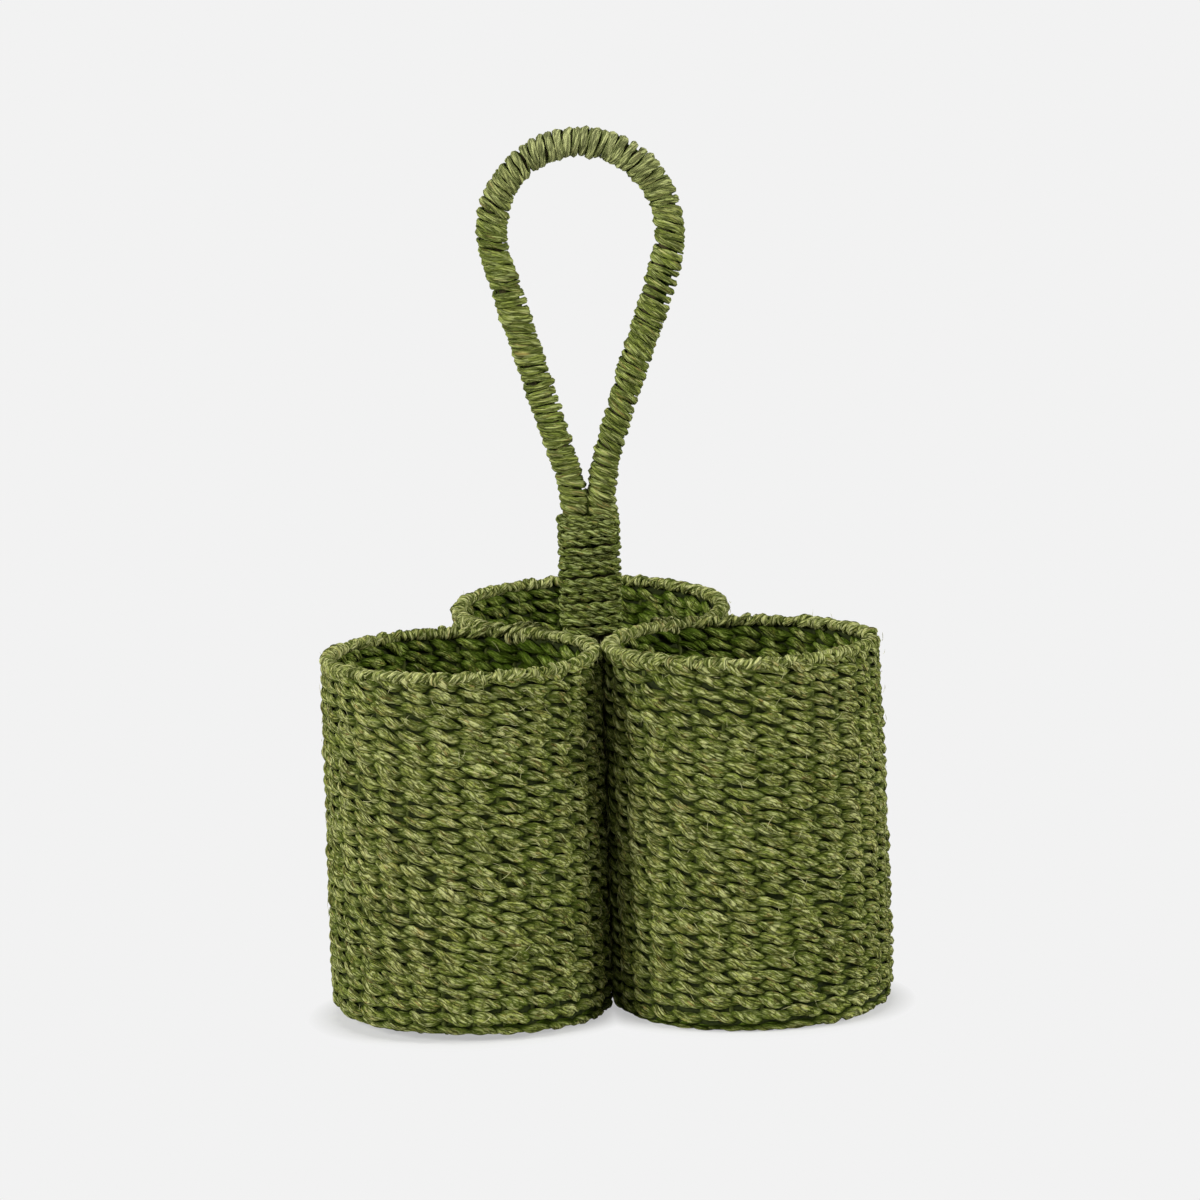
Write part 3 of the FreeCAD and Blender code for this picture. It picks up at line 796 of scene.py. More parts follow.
class Cup:
    """One cup: its sizes from the CAD, in metres, and how far the hand-made one strays from them."""

    def __init__(self, side):
        low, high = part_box(f"{side}_cup_wall")
        self.middle = np.array([(low[0] + high[0]) / 2, (low[1] + high[1]) / 2])
        self.radius = (high[0] - low[0]) / 2
        self.wall_top = high[2]
        self.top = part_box(f"{side}_cup_rim")[1][2]
        self.weave_top = self.top - RIM_DROP
        made = HAND_MADE[side]
        self.foot, self.tread, self.spread = made["foot"], made["tread"], made["spread"]
        self.drawn, self.raised, self.seams = made["drawn"], made["raised"], made["seams"]

    def place(self, radius, theta, height):
        """Points at some radius, angle and height from the middle of the base."""
        x, y = self.middle[0] + radius * np.cos(theta), self.middle[1] + radius * np.sin(theta)
        return np.stack([x, y, height], axis=-1)

    def seam_share(self, theta, width):
        """1 where this cup is sewn to another, down to 0 away from there."""
        full = 2 * math.pi
        apart = [np.mod(theta - math.radians(seam) + math.pi, full) - math.pi for seam in self.seams]
        return sum(np.exp(-((angle / width) ** 2)) for angle in apart)

    def bulge(self, theta, height, press=PRESS):
        """How far the hand-made wall stands outside its true circle.

        The front cups spread at the foot, the right one is drawn in at the rim, and two cups press into
        each other where they are sewn together.
        """
        share = np.clip(height / self.top, 0, 1)
        right, left = np.clip(np.cos(theta), 0, 1), np.clip(-np.cos(theta), 0, 1)
        wide = right * (self.spread[0] * (1 - share) - self.drawn * share**3)
        press = press * (1 + LOW_PRESS * np.clip(1 - height / LOW_HEIGHT, 0, 1))
        return wide + left * self.spread[1] * (1 - share) ** 3 + press * self.seam_share(theta, 0.14)

    def rise(self, theta):
        """How far the rim stands above its true height: all round, at the right and at the back."""
        level, right, back = self.raised
        return level + right * np.cos(theta) + back * np.sin(theta)

    def lift(self, theta, height):
        """How far the weave stands above its true height: with the rim, and where a foot is off the floor.

        The lowest rows are pressed down on the floor.
        """
        share = np.clip(height / self.top, 0, 1)
        tread = self.tread * np.clip(np.cos(theta - TREAD_SIDE), 0, 1) * (1 - share) ** 3
        return self.rise(theta) * share**4 + tread - SAG * np.clip(1 - height / SAG_HEIGHT, 0, 1)

    def surface(self, distance, theta=0.0):
        """Middle of the wall at a distance from the edge of the base, and the way out: radius, height, out.

        The foot is rounder on some sides than on others, and the wall above it makes up the difference.
        """
        foot = self.foot[0] + self.foot[1] * np.cos(theta)
        bend = foot - HALF_WALL
        arc = bend * math.pi / 2
        flat = FOOT - foot
        up = distance - flat
        angle = np.clip(up / bend, 0, math.pi / 2)
        radius = self.radius - foot + np.where(up < 0, up, bend * np.sin(angle))
        stretch = (self.weave_top - foot) / (self.wall_length() - flat - arc)
        height = np.where(up < arc, foot - bend * np.cos(angle), foot + (up - arc) * stretch)
        return radius, height, np.sin(angle), -np.cos(angle)

    def wall_length(self):
        """Length of the profile from the edge of the base to the top of the weave."""
        return (FOOT - HALF_WALL) * math.pi / 2 + self.weave_top - FOOT


cups = {side: Cup(side) for side in ("left", "right", "back")}
for side, cup in cups.items():
    print(side, "cup: radius", round(cup.radius / MM, 2), "mm, wall", round(cup.wall_length() / MM, 1))

# %% Twining
# How far a stitch stands off the middle of the wall, and how far it slants up and down from its row.
BULGE, SLANT = 1.55 * MM, 1.1 * MM
# A row rises and falls by this much on its way round.
WAVE = 0.35 * MM
# Half sizes of the yarn where two strands cross, and what a full stitch adds to them.
CROSS_TALL, FULL_TALL = 1.6 * MM, 0.75 * MM
CROSS_THICK, FULL_THICK = 1.38 * MM, -0.05 * MM
# Within this distance of the edge of the base, stitches are fuller and lie more level.
TURN_UP = 16 * MM
# Length in which the two plies of the weft turn once round each other, and how far apart they lie.
WEFT_LAY, WEFT_APART = 20 * MM, 0.34


def uneven(rng, at, count, amount):
    """Random numbers of a given spread, one for each stitch or turn, read at places between them."""
    return np.interp(at, np.arange(count), rng.normal(0, amount, count))


def rounded(wave, power):
    """A wave with its sign, made fuller by a power below 1."""
    return np.sign(wave) * np.abs(wave) ** power


def twine(cup, strand, rng, start, end, rings=11):
    """One strand of the twining between two distances along the cup's profile, as a run of yarn.

    The stakes and rows wander in the same way for both strands of a cup, and each stitch has its own size.
    """
    rows = max(1, round((end - start) / ROW))
    row = (end - start) / rows
    per_turn = STAKES * rings
    theta = np.linspace(0, 2 * math.pi * rows, rows * per_turn + 1)
    distance = start + row * theta / (2 * math.pi)
    radius, _, _, _ = cup.surface(distance)
    # Stitches keep their length where the base narrows.
    rate = np.clip(radius / (cup.radius - HALF_WALL), 0.12, 1)
    phase = np.concatenate([[0], np.cumsum(np.diff(theta) * (rate[1:] + rate[:-1]) / 2)]) * STAKES / 2
    stitch = phase / math.pi
    count = int(stitch[-1]) + 4
    shared = np.random.default_rng(round(cup.radius * 1e6) + round(cup.top * 1e6))

    def vary(amount, source=rng):
        return uneven(source, stitch, count, amount)

    phase = phase + vary(0.35, shared) + strand * math.pi
    swing = np.cos(phase)
    over = rounded(swing, 0.75)
    bulge = BULGE + vary(0.22) * MM
    slant = SLANT + vary(0.18) * MM
    lift = vary(0.08) * MM + vary(0.12, shared) * MM
    lift = lift + WAVE * np.sin(theta + 2.0 * np.sin(theta / 17.0))
    full = np.abs(swing)
    tall = (CROSS_TALL + FULL_TALL * full) * (1 + vary(0.1))
    tall = tall * (1 + 0.22 * np.clip(1 - np.abs(distance) / TURN_UP, 0, 1))
    thick = (CROSS_THICK + FULL_THICK * full) * (1 + vary(0.1))
    slant = slant * np.clip(distance / TURN_UP, 0.5, 1)
    spot = distance - slant * np.sin(phase) + lift
    spot = np.minimum(spot, cup.wall_length() - 0.2 * MM)
    radius, height, out_r, out_z = cup.surface(spot, theta)
    # The stitches that the cup stands on are pressed in.
    proud = over * bulge * np.clip(height / (10 * MM), 0.35, 1)
    # Only the outer half of a wall is pressed into the next cup.
    radius = radius + proud * out_r + cup.bulge(theta, height, PRESS * (1 + over) / 2)
    height = height + proud * out_z + cup.lift(theta, height)
    path = cup.place(radius, theta, height)
    out = np.column_stack([out_r * np.cos(theta), out_r * np.sin(theta), out_z])
    # Painted shade: the seams are painted darker and greener, as little light reaches them.
    depth = over * bulge / HALF_WALL * (1 - 0.75 * cup.seam_share(theta, 0.28))
    return path, out, thick, tall, depth


# %% Cup walls
for number, (side, cup) in enumerate(cups.items()):
    for strand in (0, 1):
        rng = np.random.default_rng(100 + 10 * number + strand)
        run = twine(cup, strand, rng, 0.0, cup.wall_length())
        for ply, half in enumerate(plies(run, WEFT_LAY, rng, WEFT_APART)):
            name = f"{side}_cup_weft_{'ab'[strand]}{ply + 1}"
            piece = yarn_piece(name, [half], weft_finish[ply], sides=6)
            if strand == ply == 0:
                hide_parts(f"{side}_cup_wall")
        print(name, len(piece.data.polygons), "faces")

# %% [markdown]
# Abaca is hairy, and inside a wall the yarns felt together, so that no light comes through the weave. A
# thin shell along the middle of each wall does that here, painted nearly black as the shade deep in the
# weave. It follows the same uneven foot and rim, so its points are worked out by the Cup class, ring by
# ring, and not spun from one profile.

# %% Felted middle, painted as shade
SHELL_STEPS = 112
# How far the two faces of the shell lie from the middle of the wall, and how far each is pressed at a seam.
SHELL_FACES = ((0.45 * MM, PRESS), (-0.75 * MM, PRESS / 4))
# It leaves a hole of this radius in the middle of the base.
SHELL_HOLE = 0.1 * MM
for side, cup in cups.items():
    distance = np.concatenate(
        [
            np.linspace(-(cup.radius - FOOT - SHELL_HOLE), -4 * MM, 6),
            np.linspace(-3 * MM, 14 * MM, 18),
            np.linspace(20 * MM, cup.wall_length(), 8),
        ]
    )
    theta = np.linspace(0, 2 * math.pi, SHELL_STEPS, endpoint=False)[:, None]
    radius, height, out_r, out_z = cup.surface(distance[None, :], theta)
    sheets = []
    for half, press in SHELL_FACES:
        level = height + half * out_z
        reach = radius + half * out_r + cup.bulge(theta, level, press)
        level = np.maximum(level + cup.lift(theta, level), SOLE)
        sheets.append(cup.place(reach, theta, level))
    outer, inner = sheets
    points = np.concatenate([outer, inner[:, ::-1]], axis=1)
    index = np.arange(points.shape[0] * points.shape[1]).reshape(points.shape[:2])
    on, up = np.roll(index, -1, axis=0), np.roll(index, -1, axis=1)
    quads = np.stack([index, on, np.roll(on, -1, axis=1), up], axis=-1).reshape(-1, 4)
    mesh = bpy.data.meshes.new(f"{side}_cup_felt_shade_sheet")
    mesh.from_pydata(points.reshape(-1, 3).tolist(), [], quads.tolist())
    mesh.materials.append(felt_shade_finish)
    mesh.polygons.foreach_set("use_smooth", np.ones(len(mesh.polygons), dtype=bool))
    piece = bpy.data.objects.new(mesh.name, mesh)
    scene.collection.objects.link(piece)
    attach(piece, "carrier")
    print(piece.name, len(mesh.polygons), "faces")

# %% [markdown]
# The base is begun in the middle, and twined outwards in a spiral with the same two strands until the
# stakes turn up into the wall. The same function makes it, from distances below zero, which lie on the
# flat.

# %% Base discs
# The spiral starts at this radius, and ends at this distance from the edge of the base.
BASE_START, BASE_END = 2.2 * MM, -0.5 * MM
for number, (side, cup) in enumerate(cups.items()):
    rng = np.random.default_rng(200 + number)
    inner = -(cup.radius - FOOT - BASE_START)
    runs = [twine(cup, strand, rng, inner, BASE_END) for strand in (0, 1)]
    piece = yarn_piece(f"{side}_cup_base_weave", runs, weft_finish[0], sides=6)
    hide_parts(f"{side}_cup_base")
    print(piece.name, len(piece.data.polygons), "faces")

# %% [markdown]
# ## Rims
# The stakes end at the top of the wall. They are bound off with a close overcast: yarn that goes over the
# edge, through the weave and on, every 3 mm or so. It is a winding round a ring, so the path is a circle
# with a second circle on it. A second, wider spaced winding leans the other way over the first, which
# gives the edge its knots. Copies of one turn would look machined, so each turn has its own size and
# spacing, as hand sewing does.

# %% Rim overcast
# Distance from one turn to the next.
OVERCAST = 3.0 * MM
# Half sizes of the path of a turn, and how far its middle lies below the top of the rim.
TURN_WIDE, TURN_HIGH, TURN_SINK = 1.6 * MM, 1.1 * MM, 2.1 * MM
RIM_THICK, RIM_TALL = 1.05 * MM, 1.5 * MM
# Half sizes of the cord under the overcast, and how far it lies below the top of the rim.
CORD_THICK, CORD_TALL, CORD_SINK = 1.6 * MM, 1.1 * MM, 2.2 * MM


def overcast(cup, rng, pitch, lean, proud):
    """A winding round one rim: its pitch, how far each turn leans, and how far it stands proud."""
    ring = cup.radius - HALF_WALL
    turns = round(2 * math.pi * ring / pitch)
    points = 16
    t = np.linspace(0, turns, turns * points + 1)
    around = 2 * math.pi * t

    def vary(amount):
        return uneven(rng, t, turns + 2, amount)

    theta = 2 * math.pi * (t + vary(0.2)) / turns
    wide = TURN_WIDE + vary(0.34) * MM + proud
    high = TURN_HIGH + vary(0.36) * MM + proud
    level = cup.top - TURN_SINK + vary(0.25) * MM + cup.rise(theta)
    radius = ring + cup.bulge(theta, cup.top) + wide * np.cos(around)
    height = level + high * np.sin(around)
    # Each turn leans, so the top of the stitch runs ahead of its foot.
    theta = theta + (lean + vary(0.6 * MM)) / ring * np.sin(around)
    path = cup.place(radius, theta, height)
    out = np.column_stack([np.cos(around) * np.cos(theta), np.cos(around) * np.sin(theta), np.sin(around)])
    thick = RIM_THICK + vary(0.16) * MM
    tall = RIM_TALL + vary(0.3) * MM
    return path, out, thick, tall, np.full(len(t), 0.42)


def ring_run(cup, points=240):
    """A cord laid once round under the overcast, as the bound-off ends of the stakes are."""
    theta = np.linspace(0, 2 * math.pi * 1.004, points)
    ring = cup.radius - HALF_WALL + cup.bulge(theta, cup.top)
    path = cup.place(ring, theta, cup.top - CORD_SINK + cup.rise(theta))
    out = np.column_stack([np.cos(theta), np.sin(theta), np.zeros(points)])
    return path, out, np.full(points, CORD_THICK), np.full(points, CORD_TALL), np.zeros(points)


# %% Rims
for number, (side, cup) in enumerate(cups.items()):
    rng = np.random.default_rng(300 + number)
    runs = [overcast(cup, rng, pitch=OVERCAST, lean=0.8 * MM, proud=0.0)]
    runs.append(overcast(cup, rng, pitch=2.3 * OVERCAST, lean=-1.2 * MM, proud=0.3 * MM))
    runs.append(ring_run(cup))
    piece = yarn_piece(f"{side}_cup_rim_overcast", runs, rim_finish, sides=6)
    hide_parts(f"{side}_cup_rim")
    print(piece.name, len(piece.data.polygons), "faces")

# %% [markdown]
# ## Sewing
# The cups are held together by cord. Beside the stem, a few turns of yarn bind the back rim to each front
# rim. Lower down, a cord is sewn to and fro up each of the three seams, where it hardly shows. Both could
# be drawn by hand as curves. Here their paths are worked out from the places of the two cups, so they stay
# in the seam when a cup moves.

# %% Rim ties and lacings
SEAMS = {"front": ("left", "right"), "left": ("left", "back"), "right": ("right", "back")}
# Half sizes of a turn of the rim ties, how far its middle lies below the rims, and from turn to turn.
TIE_WIDE, TIE_HIGH, TIE_SINK, TIE_STEP = 4.6 * MM, 2.4 * MM, 2.9 * MM, 3.1 * MM
LACING_HALF = 1.2 * MM


def seam(first, second):
    """Foot of the seam between two cups, and the way across it."""
    one, other = cups[first], cups[second]
    apart = np.linalg.norm(other.middle - one.middle)
    across = (other.middle - one.middle) / apart
    gap = apart - one.radius - other.radius
    return one.middle + across * (one.radius + gap / 2), across


def rim_tie(first, second, rng, turns=3, points=26):
    """Yarn wound round two rims where they touch."""
    spot, across = seam(first, second)
    along = np.array([across[1], -across[0]])
    low, high = cups[first].top, cups[second].top
    t = np.linspace(0, turns, turns * points + 1)
    angle = 2 * math.pi * t

    def vary(amount):
        return uneven(rng, t, turns + 2, amount)

    x = (TIE_WIDE + vary(0.5) * MM) * rounded(np.cos(angle), 0.8)
    level = (low + high) / 2 - TIE_SINK + (high - low) / 2 * x / TIE_WIDE
    z = level + (TIE_HIGH + vary(0.2) * MM) * rounded(np.sin(angle), 0.7)
    y = (t - turns / 2) * TIE_STEP + vary(0.6) * MM + 1.4 * MM * np.cos(angle)
    flat = spot + across * x[:, None] + along * y[:, None]
    out = np.column_stack([across[0] * np.cos(angle), across[1] * np.cos(angle), np.sin(angle)])
    thick, tall = (0.95 + vary(0.1)) * MM, (1.35 + vary(0.2)) * MM
    return np.column_stack([flat, z]), out, thick, tall, np.full(len(t), 0.5)


def lacing(first, second, bite=1.3 * MM, margin=5 * MM, crossings=9):
    """A cord sewn to and fro up the seam between two walls."""
    spot, across = seam(first, second)
    top = min(cups[first].wall_top, cups[second].wall_top) - margin
    z = np.linspace(margin, top, 240)
    x = -bite * np.cos(math.pi * crossings * (z - margin) / (top - margin))
    along = np.array([across[1], -across[0]])
    out = np.tile(np.append(along, 0), (len(z), 1))
    half = np.full(len(z), LACING_HALF)
    return np.column_stack([spot + across * x[:, None], z]), out, half, half, np.full(len(z), 0.2)


rng = np.random.default_rng(350)
for name in ("left", "right"):
    run = rim_tie(*SEAMS[name], rng)
    piece = yarn_piece(f"{name}_rim_tie_yarn", [run], rim_finish, sides=8)
    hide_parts(f"{name}_rim_tie")
    print(piece.name, len(piece.data.polygons), "faces")
for name, (first, second) in SEAMS.items():
    piece = yarn_piece(f"{name}_lacing_yarn", [lacing(first, second)], rim_finish, sides=6)
    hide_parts(f"{name}_lacing")
    print(piece.name, len(piece.data.polygons), "faces")

# %% [markdown]
# ## Stem
# The handle is taken to be one length of cane, bent double. Yarn is wound round both legs at once to make
# the stem, and then on round the loop. On the real one the whole handle would bend a little when it is
# pushed. Here the CAD has a hinge at the top of the stem, and both windings are laid round it. Seen from
# above, the winding of the stem follows an oval round the two canes. A screw modifier makes round coils
# only, so the points are worked out along that oval.

# %% Stem sizes
hinge = np.array(frame["joints"][0]["pos_m"])
core_low, core_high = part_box("stem_core_left")
CORE = (core_high[0] - core_low[0]) / 2
HALF_STEM = hinge[0] - (core_low[0] + core_high[0]) / 2
stem_low, stem_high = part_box("stem_whipping")
rim_level = stem_low[2]
print("hinge at", hinge.round(4), "cane radius", round(CORE / MM, 2), "mm")

# %% Stem whipping
WHIP_TURNS, WHIP_THICK, WHIP_TALL = 15, 1.6 * MM, 1.8 * MM
# The middle of the yarn lies this far off the cane.
WHIP_OFF = 1.2 * MM


def oval(half, end, turn):
    """Places after some turns round an oval of two half circles and two straight runs, and the ways out."""
    girth = 4 * half + 2 * math.pi * end
    s = np.mod(turn * girth, girth)
    arc = math.pi * end
    x, y = np.empty_like(s), np.empty_like(s)
    ox, oy = np.empty_like(s), np.empty_like(s)
    spans = [
        (0, half, "front"),
        (half, half + arc, "right"),
        (half + arc, 3 * half + arc, "rear"),
        (3 * half + arc, 3 * half + 2 * arc, "left"),
        (3 * half + 2 * arc, girth + 1, "front_end"),
    ]
    for low, high, label in spans:
        here = (s >= low) & (s < high)
        d = s[here] - low
        if label in ("front", "front_end"):
            x[here] = d if label == "front" else d - half
            y[here], ox[here], oy[here] = -end, 0, -1
        elif label == "rear":
            x[here] = half - d
            y[here], ox[here], oy[here] = end, 0, 1
        else:
            sign = 1 if label == "right" else -1
            angle = d / end - math.pi / 2
            ox[here], oy[here] = sign * np.cos(angle), sign * np.sin(angle)
            x[here] = sign * half + end * ox[here]
            y[here] = end * oy[here]
    return x, y, ox, oy


def whipping(low, high, half, end, turns, rng, thick, tall, points=44, middle=None):
    """Yarn wound round the stem between two heights."""
    middle = hinge[0] if middle is None else middle
    t = np.linspace(0, turns, turns * points + 1)
    # It starts and ends at the back.
    x, y, ox, oy = oval(half, end, t + 0.5)

    def vary(amount):
        return uneven(rng, t * 2, 2 * turns + 3, amount)

    height = low + (high - low) * t / turns + vary(0.35) * MM
    swell = vary(0.3) * MM
    # The lowest turns are drawn in, down into the gap between the rims, and both ends are tucked under.
    swell = swell - 1.6 * MM * np.clip((rim_level - 3 * MM - height) / (6 * MM), 0, 1)
    swell = swell - 1.8 * MM * np.clip(1 - 2 * np.minimum(t, turns - t), 0, 1)
    path = np.column_stack([middle + x + ox * swell, hinge[1] + y + oy * swell, height])
    out = np.column_stack([ox, oy, np.zeros_like(ox)])
    return path, out, thick * (1 + vary(0.1)), tall * (1 + vary(0.14)), np.full(len(t), 0.7)


def post(low, high, thick, tall, depth, points):
    """A hank of fibre that stands upright in the middle of the stem, as a run of yarn."""
    path = np.tile(hinge, (points, 1))
    path[:, 2] = np.linspace(low, high, points)
    out = np.tile([0.0, -1.0, 0.0], (points, 1))
    return path, out, np.full(points, thick), np.full(points, tall), np.full(points, depth)


rng = np.random.default_rng(400)
foot, head = stem_low[2] - 3 * MM, stem_high[2] - 1.6 * MM
run = whipping(foot, head, HALF_STEM, CORE + WHIP_OFF, WHIP_TURNS, rng, WHIP_THICK, WHIP_TALL, points=66)
# A flat hank of loose fibre fills the valley between the two canes.
# Its depth below zero paints it as shade.
hank = post(foot, head - 2 * MM, thick=3.4 * MM, tall=3.0 * MM, depth=-0.8, points=30)
stem_yarn = yarn_piece(
    "stem_whipping_yarn", plies(run, 11.0 * MM, rng) + [hank], stem_finish, sides=8, body=None
)
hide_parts("stem_whipping")
print(stem_yarn.name, len(stem_yarn.data.polygons), "faces")

# %% [markdown]
# Below the rims, five turns of cord tie the two tails of the cane to the walls around them. The same
# winding makes them, with a wider oval.

# %% Stem lashing
LASH_TURNS, LASH_THICK, LASH_TALL = 5, 0.9 * MM, 1.7 * MM
lash_low, lash_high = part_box("stem_lashing")
lash_half = (lash_high[1] - lash_low[1]) / 2 - LASH_THICK
lash_reach = (lash_high[0] - lash_low[0]) / 2 - LASH_THICK - lash_half
foot, head = lash_low[2] + 1 * MM, lash_high[2] - 1 * MM
run = whipping(foot, head, lash_reach, lash_half, LASH_TURNS, rng, LASH_THICK, LASH_TALL, middle=0.0)
lash_yarn = yarn_piece("stem_lashing_yarn", [run], stem_finish, sides=8)
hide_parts("stem_lashing")
print(lash_yarn.name, len(lash_yarn.data.polygons), "faces")

# %% [markdown]
# ## Loop
# The loop is a teardrop: two straight legs that part at the stem, and a round top. Its left and right
# halves differ, because a bent cane is never quite even. The wrap is one path that winds round the line of
# the cane. Its turns differ in lean, spacing and size, thin loose strands cross them, and a bed of fibre
# under them keeps the cane out of sight. A ring copied along a curve would be quicker, but every turn would
# be the same.

# %% Centreline of the loop
LOOP_HEIGHT = 129.3 * MM
# Radius of the shoulder and of the neck of each leg.
LEFT_BEND, RIGHT_BEND = (31.5 * MM, 40 * MM), (32 * MM, 70 * MM)
# The line starts and ends this far below the hinge.
TUCK = 6 * MM
# By hand, the legs are pressed together at the foot, and the right leg is fuller half way up.
SQUEEZE, SQUEEZE_HEIGHT = 0.5 * MM, 11 * MM
BOW, BOW_HEIGHT, BOW_SPAN = 0.9 * MM, 74 * MM, 17 * MM


def half_loop(radius, neck):
    """Points up one leg to the top of the loop: its foot below the hinge, the neck, the shoulder."""
    gap, rise = HALF_STEM + neck, LOOP_HEIGHT - radius
    lean = math.asin((radius + neck) / math.hypot(gap, rise)) - math.atan2(gap, rise)
    bend, turn = np.linspace(0, lean, 40), np.linspace(-lean, math.pi / 2, 120)
    foot = [[HALF_STEM, -TUCK]]
    neck_points = np.column_stack([gap - neck * np.cos(bend), neck * np.sin(bend)])
    shoulder = np.column_stack([radius * np.cos(turn), rise + radius * np.sin(turn)])
    return np.concatenate([foot, neck_points, shoulder])


def loop_line(count):
    """Even points along the loop's centreline, from the left foot over the top to the right foot."""
    left, right = half_loop(*LEFT_BEND) * [-1, 1], half_loop(*RIGHT_BEND)
    corners = np.concatenate([left, right[-2::-1]])
    walked = walk(corners)
    s = np.linspace(0, walked[-1], count)
    x, z = np.interp(s, walked, corners[:, 0]), np.interp(s, walked, corners[:, 1])
    x = x - np.sign(x) * SQUEEZE * np.clip(1 - z / SQUEEZE_HEIGHT, 0, 1)
    x = x + np.where(x > 0, BOW * np.exp(-(((z - BOW_HEIGHT) / BOW_SPAN) ** 2)), 0)
    return np.column_stack([hinge[0] + x, np.full(count, hinge[1]), hinge[2] + z]), walked[-1]


print("loop line:", round(loop_line(2)[1] / MM, 1), "mm long")

# %% Wrap of the loop
LINE_POINTS = 2001
LOOP_PITCH, WRAP_RADIUS = 3.1 * MM, 4.5 * MM
WRAP_THICK, WRAP_TALL = 1.2 * MM, 1.5 * MM


def loop_wrap(rng, pitch=LOOP_PITCH, points=18, proud=0.0, size=1.0, loose=1.0):
    """Yarn wound closely round the loop. The turns lean more on the right leg than on the left."""
    line, length = loop_line(LINE_POINTS)
    turns = round(length / pitch)
    t = np.linspace(0, turns, turns * points + 1)
    share = np.linspace(0, turns, LINE_POINTS)
    angle = 2 * math.pi * t

    def vary(amount):
        return uneven(rng, t, turns + 2, amount)

    tilt = (0.1 + 0.15 * np.clip(t / turns * 2 - 0.9, 0, 1)) * LOOP_PITCH / pitch + vary(0.2 * loose)
    at = np.clip(t + vary(0.11 * loose) - tilt * np.cos(angle), 0, turns)
    centre = np.column_stack([np.interp(at, share, line[:, k]) for k in range(3)])
    along = unit(np.column_stack([np.interp(at, share, np.gradient(line[:, k])) for k in range(3)]))
    depth = np.zeros_like(along)
    depth[:, 1] = -1
    level = np.cross(along, depth)
    out = level * np.cos(angle)[:, None] + depth * np.sin(angle)[:, None]
    # The wrap swells and thins along the loop, in the same places for every strand.
    marks = np.arange(0, length + 40 * MM, 18.6 * MM)
    slow = np.interp(t / turns * length, marks, np.random.default_rng(501).normal(0, 0.35, len(marks)))
    # It is fuller half way up the right leg, and slimmer low on both, and its two ends are tucked under.
    full = 0.6 * np.exp(-(((t / turns - 0.72) / 0.06) ** 2))
    above = np.minimum(t, turns - t) / turns * length
    slim = 0.75 * np.clip(1 - above / (46 * MM), 0, 1) * np.clip((above - 9 * MM) / (6 * MM), 0, 1)
    radius = WRAP_RADIUS + (0.5 * slow + full - slim + vary(0.22)) * MM + proud
    radius = radius - 1.0 * MM * np.clip(1 - np.minimum(t, turns - t), 0, 1)
    path = centre + out * radius[:, None]
    thick = size * (WRAP_THICK + vary(0.14) * MM)
    tall = size * (WRAP_TALL + vary(0.22) * MM)
    return path, out, thick, tall, np.full(len(t), 0.52)


# %% Loop
BED_POINTS, BED_HALF = 200, 3.7 * MM

rng = np.random.default_rng(500)
runs = plies(loop_wrap(rng), 16 * MM, rng, 0.25)
# Loose strands of the same yarn cross the turns at all angles, and a bed of fibre lies under them.
for pitch in (2.9 * MM, 4.4 * MM):
    runs.append(loop_wrap(rng, pitch, points=16, proud=0.3 * MM, size=0.3, loose=1.3))
line, _ = loop_line(BED_POINTS)
bed = np.full(BED_POINTS, BED_HALF)
# The bed's depth below zero paints it as shade.
runs.append((line, np.tile([0.0, -1.0, 0.0], (BED_POINTS, 1)), bed, bed, np.full(BED_POINTS, -1.1)))
# A plug of fibre fills the place where the two legs meet; its depth below zero paints it as shade.
plug_low, plug_high = hinge[2] - TUCK, hinge[2] + 2.5 * MM
runs.append(post(plug_low, plug_high, thick=3.2 * MM, tall=1.8 * MM, depth=-0.6, points=12))
loop_yarn = yarn_piece("loop_wrap_yarn", runs, loop_finish, sides=6, body=None)
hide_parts("loop_wrap")
for piece in (stem_yarn, loop_yarn):
    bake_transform(piece)
print(loop_yarn.name, len(loop_yarn.data.polygons), "faces")
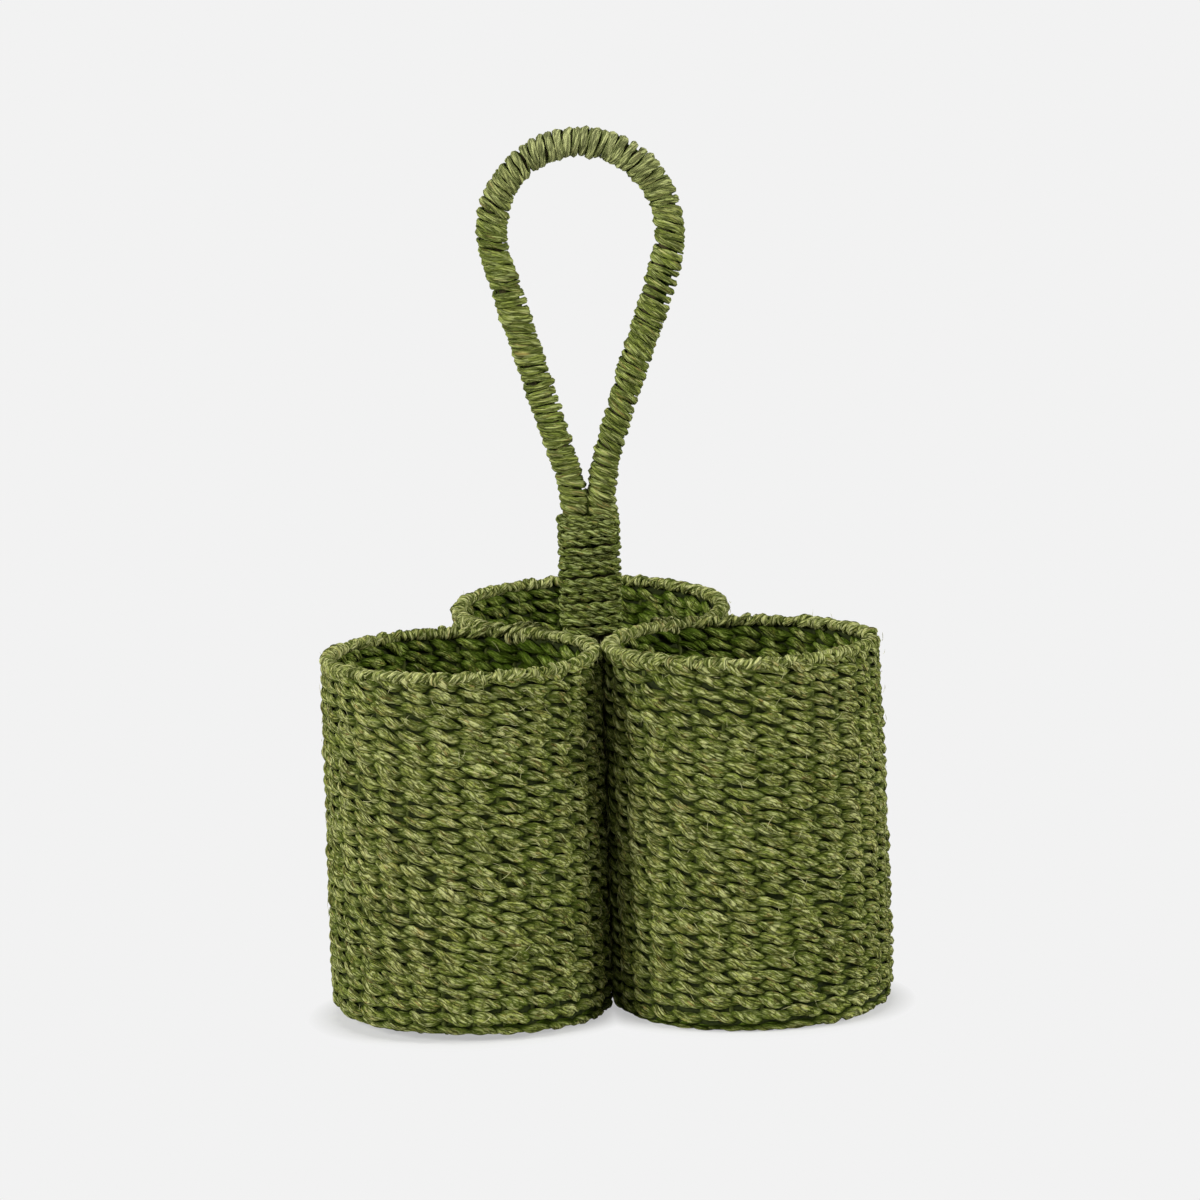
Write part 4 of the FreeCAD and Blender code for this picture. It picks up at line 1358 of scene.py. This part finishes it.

# %% [markdown]
# ## Stakes and cane
# Two kinds of CAD solid stay as they are, because the yarn covers almost all of them: the stakes in the
# walls, and the cane of the handle. They only need a colour, mottled along their grain; the cane's is
# painted dark, as the shade in the gaps where it shows.

# %% Finishes of the CAD pieces that stay
for name, node in frame["nodes"].items():
    finish = stake_finish if name.endswith("_stakes") else cane_finish if "core" in name else None
    if finish:
        node.data.materials.clear()
        node.data.materials.append(finish)
        print(name, finish.name)

# %% [markdown]
# ## Loose fibres
# Abaca yarn sheds fine ends. They catch the light along the rims and the outline, so some hundreds are laid
# over the weave: short bent hairs, most of them close to the surface. Blender's hair curves could make
# them too. Thin tubes are used because they go into an exported model as they are.

# %% Hairs
# Hairs on each cup, and the share of them that is inside it.
HAIRS, HAIRS_INSIDE = 360, 0.15


def hairs(places, outs, rng, rings=6):
    """Short bent fibres that start at given places."""
    runs = []
    for place, out in zip(places, outs):
        across = unit(np.cross(out, rng.normal(0, 1, 3)))
        length = rng.uniform(2.0, 5.0) * MM
        lift = rng.uniform(0.2, 1.0) * (0.6 if rng.random() < 0.92 else 1.8) * MM
        t = np.linspace(0, 1, rings)
        curl = np.cross(out, across) * rng.normal(0, 0.6) * length
        path = place + np.outer(t - 0.3, across) * length + np.outer(np.sin(t * math.pi * 0.7), out) * lift
        path = path + np.outer(t**2, curl)
        size = np.full(rings, rng.uniform(0.06, 0.1) * MM)
        runs.append((path, np.tile(out, (rings, 1)), size, size, np.ones(rings)))
    return runs


for number, (side, cup) in enumerate(cups.items()):
    rng = np.random.default_rng(600 + number)
    theta, rise = rng.uniform(0, 2 * math.pi, HAIRS), rng.uniform(0.03, 1.0, HAIRS) ** 0.8
    inside = rng.random(HAIRS) < HAIRS_INSIDE
    radius = np.where(inside, cup.radius - 2 * HALF_WALL, cup.radius) - 0.2 * MM
    outs = np.column_stack([np.cos(theta), np.sin(theta), np.zeros(HAIRS)])
    places = cup.place(radius, theta, rise * cup.top)
    outs[inside] *= -1
    piece = yarn_piece(f"{side}_cup_hairs", hairs(places, outs, rng), hair_finish, sides=4)
    print(piece.name, len(piece.data.polygons), "faces")
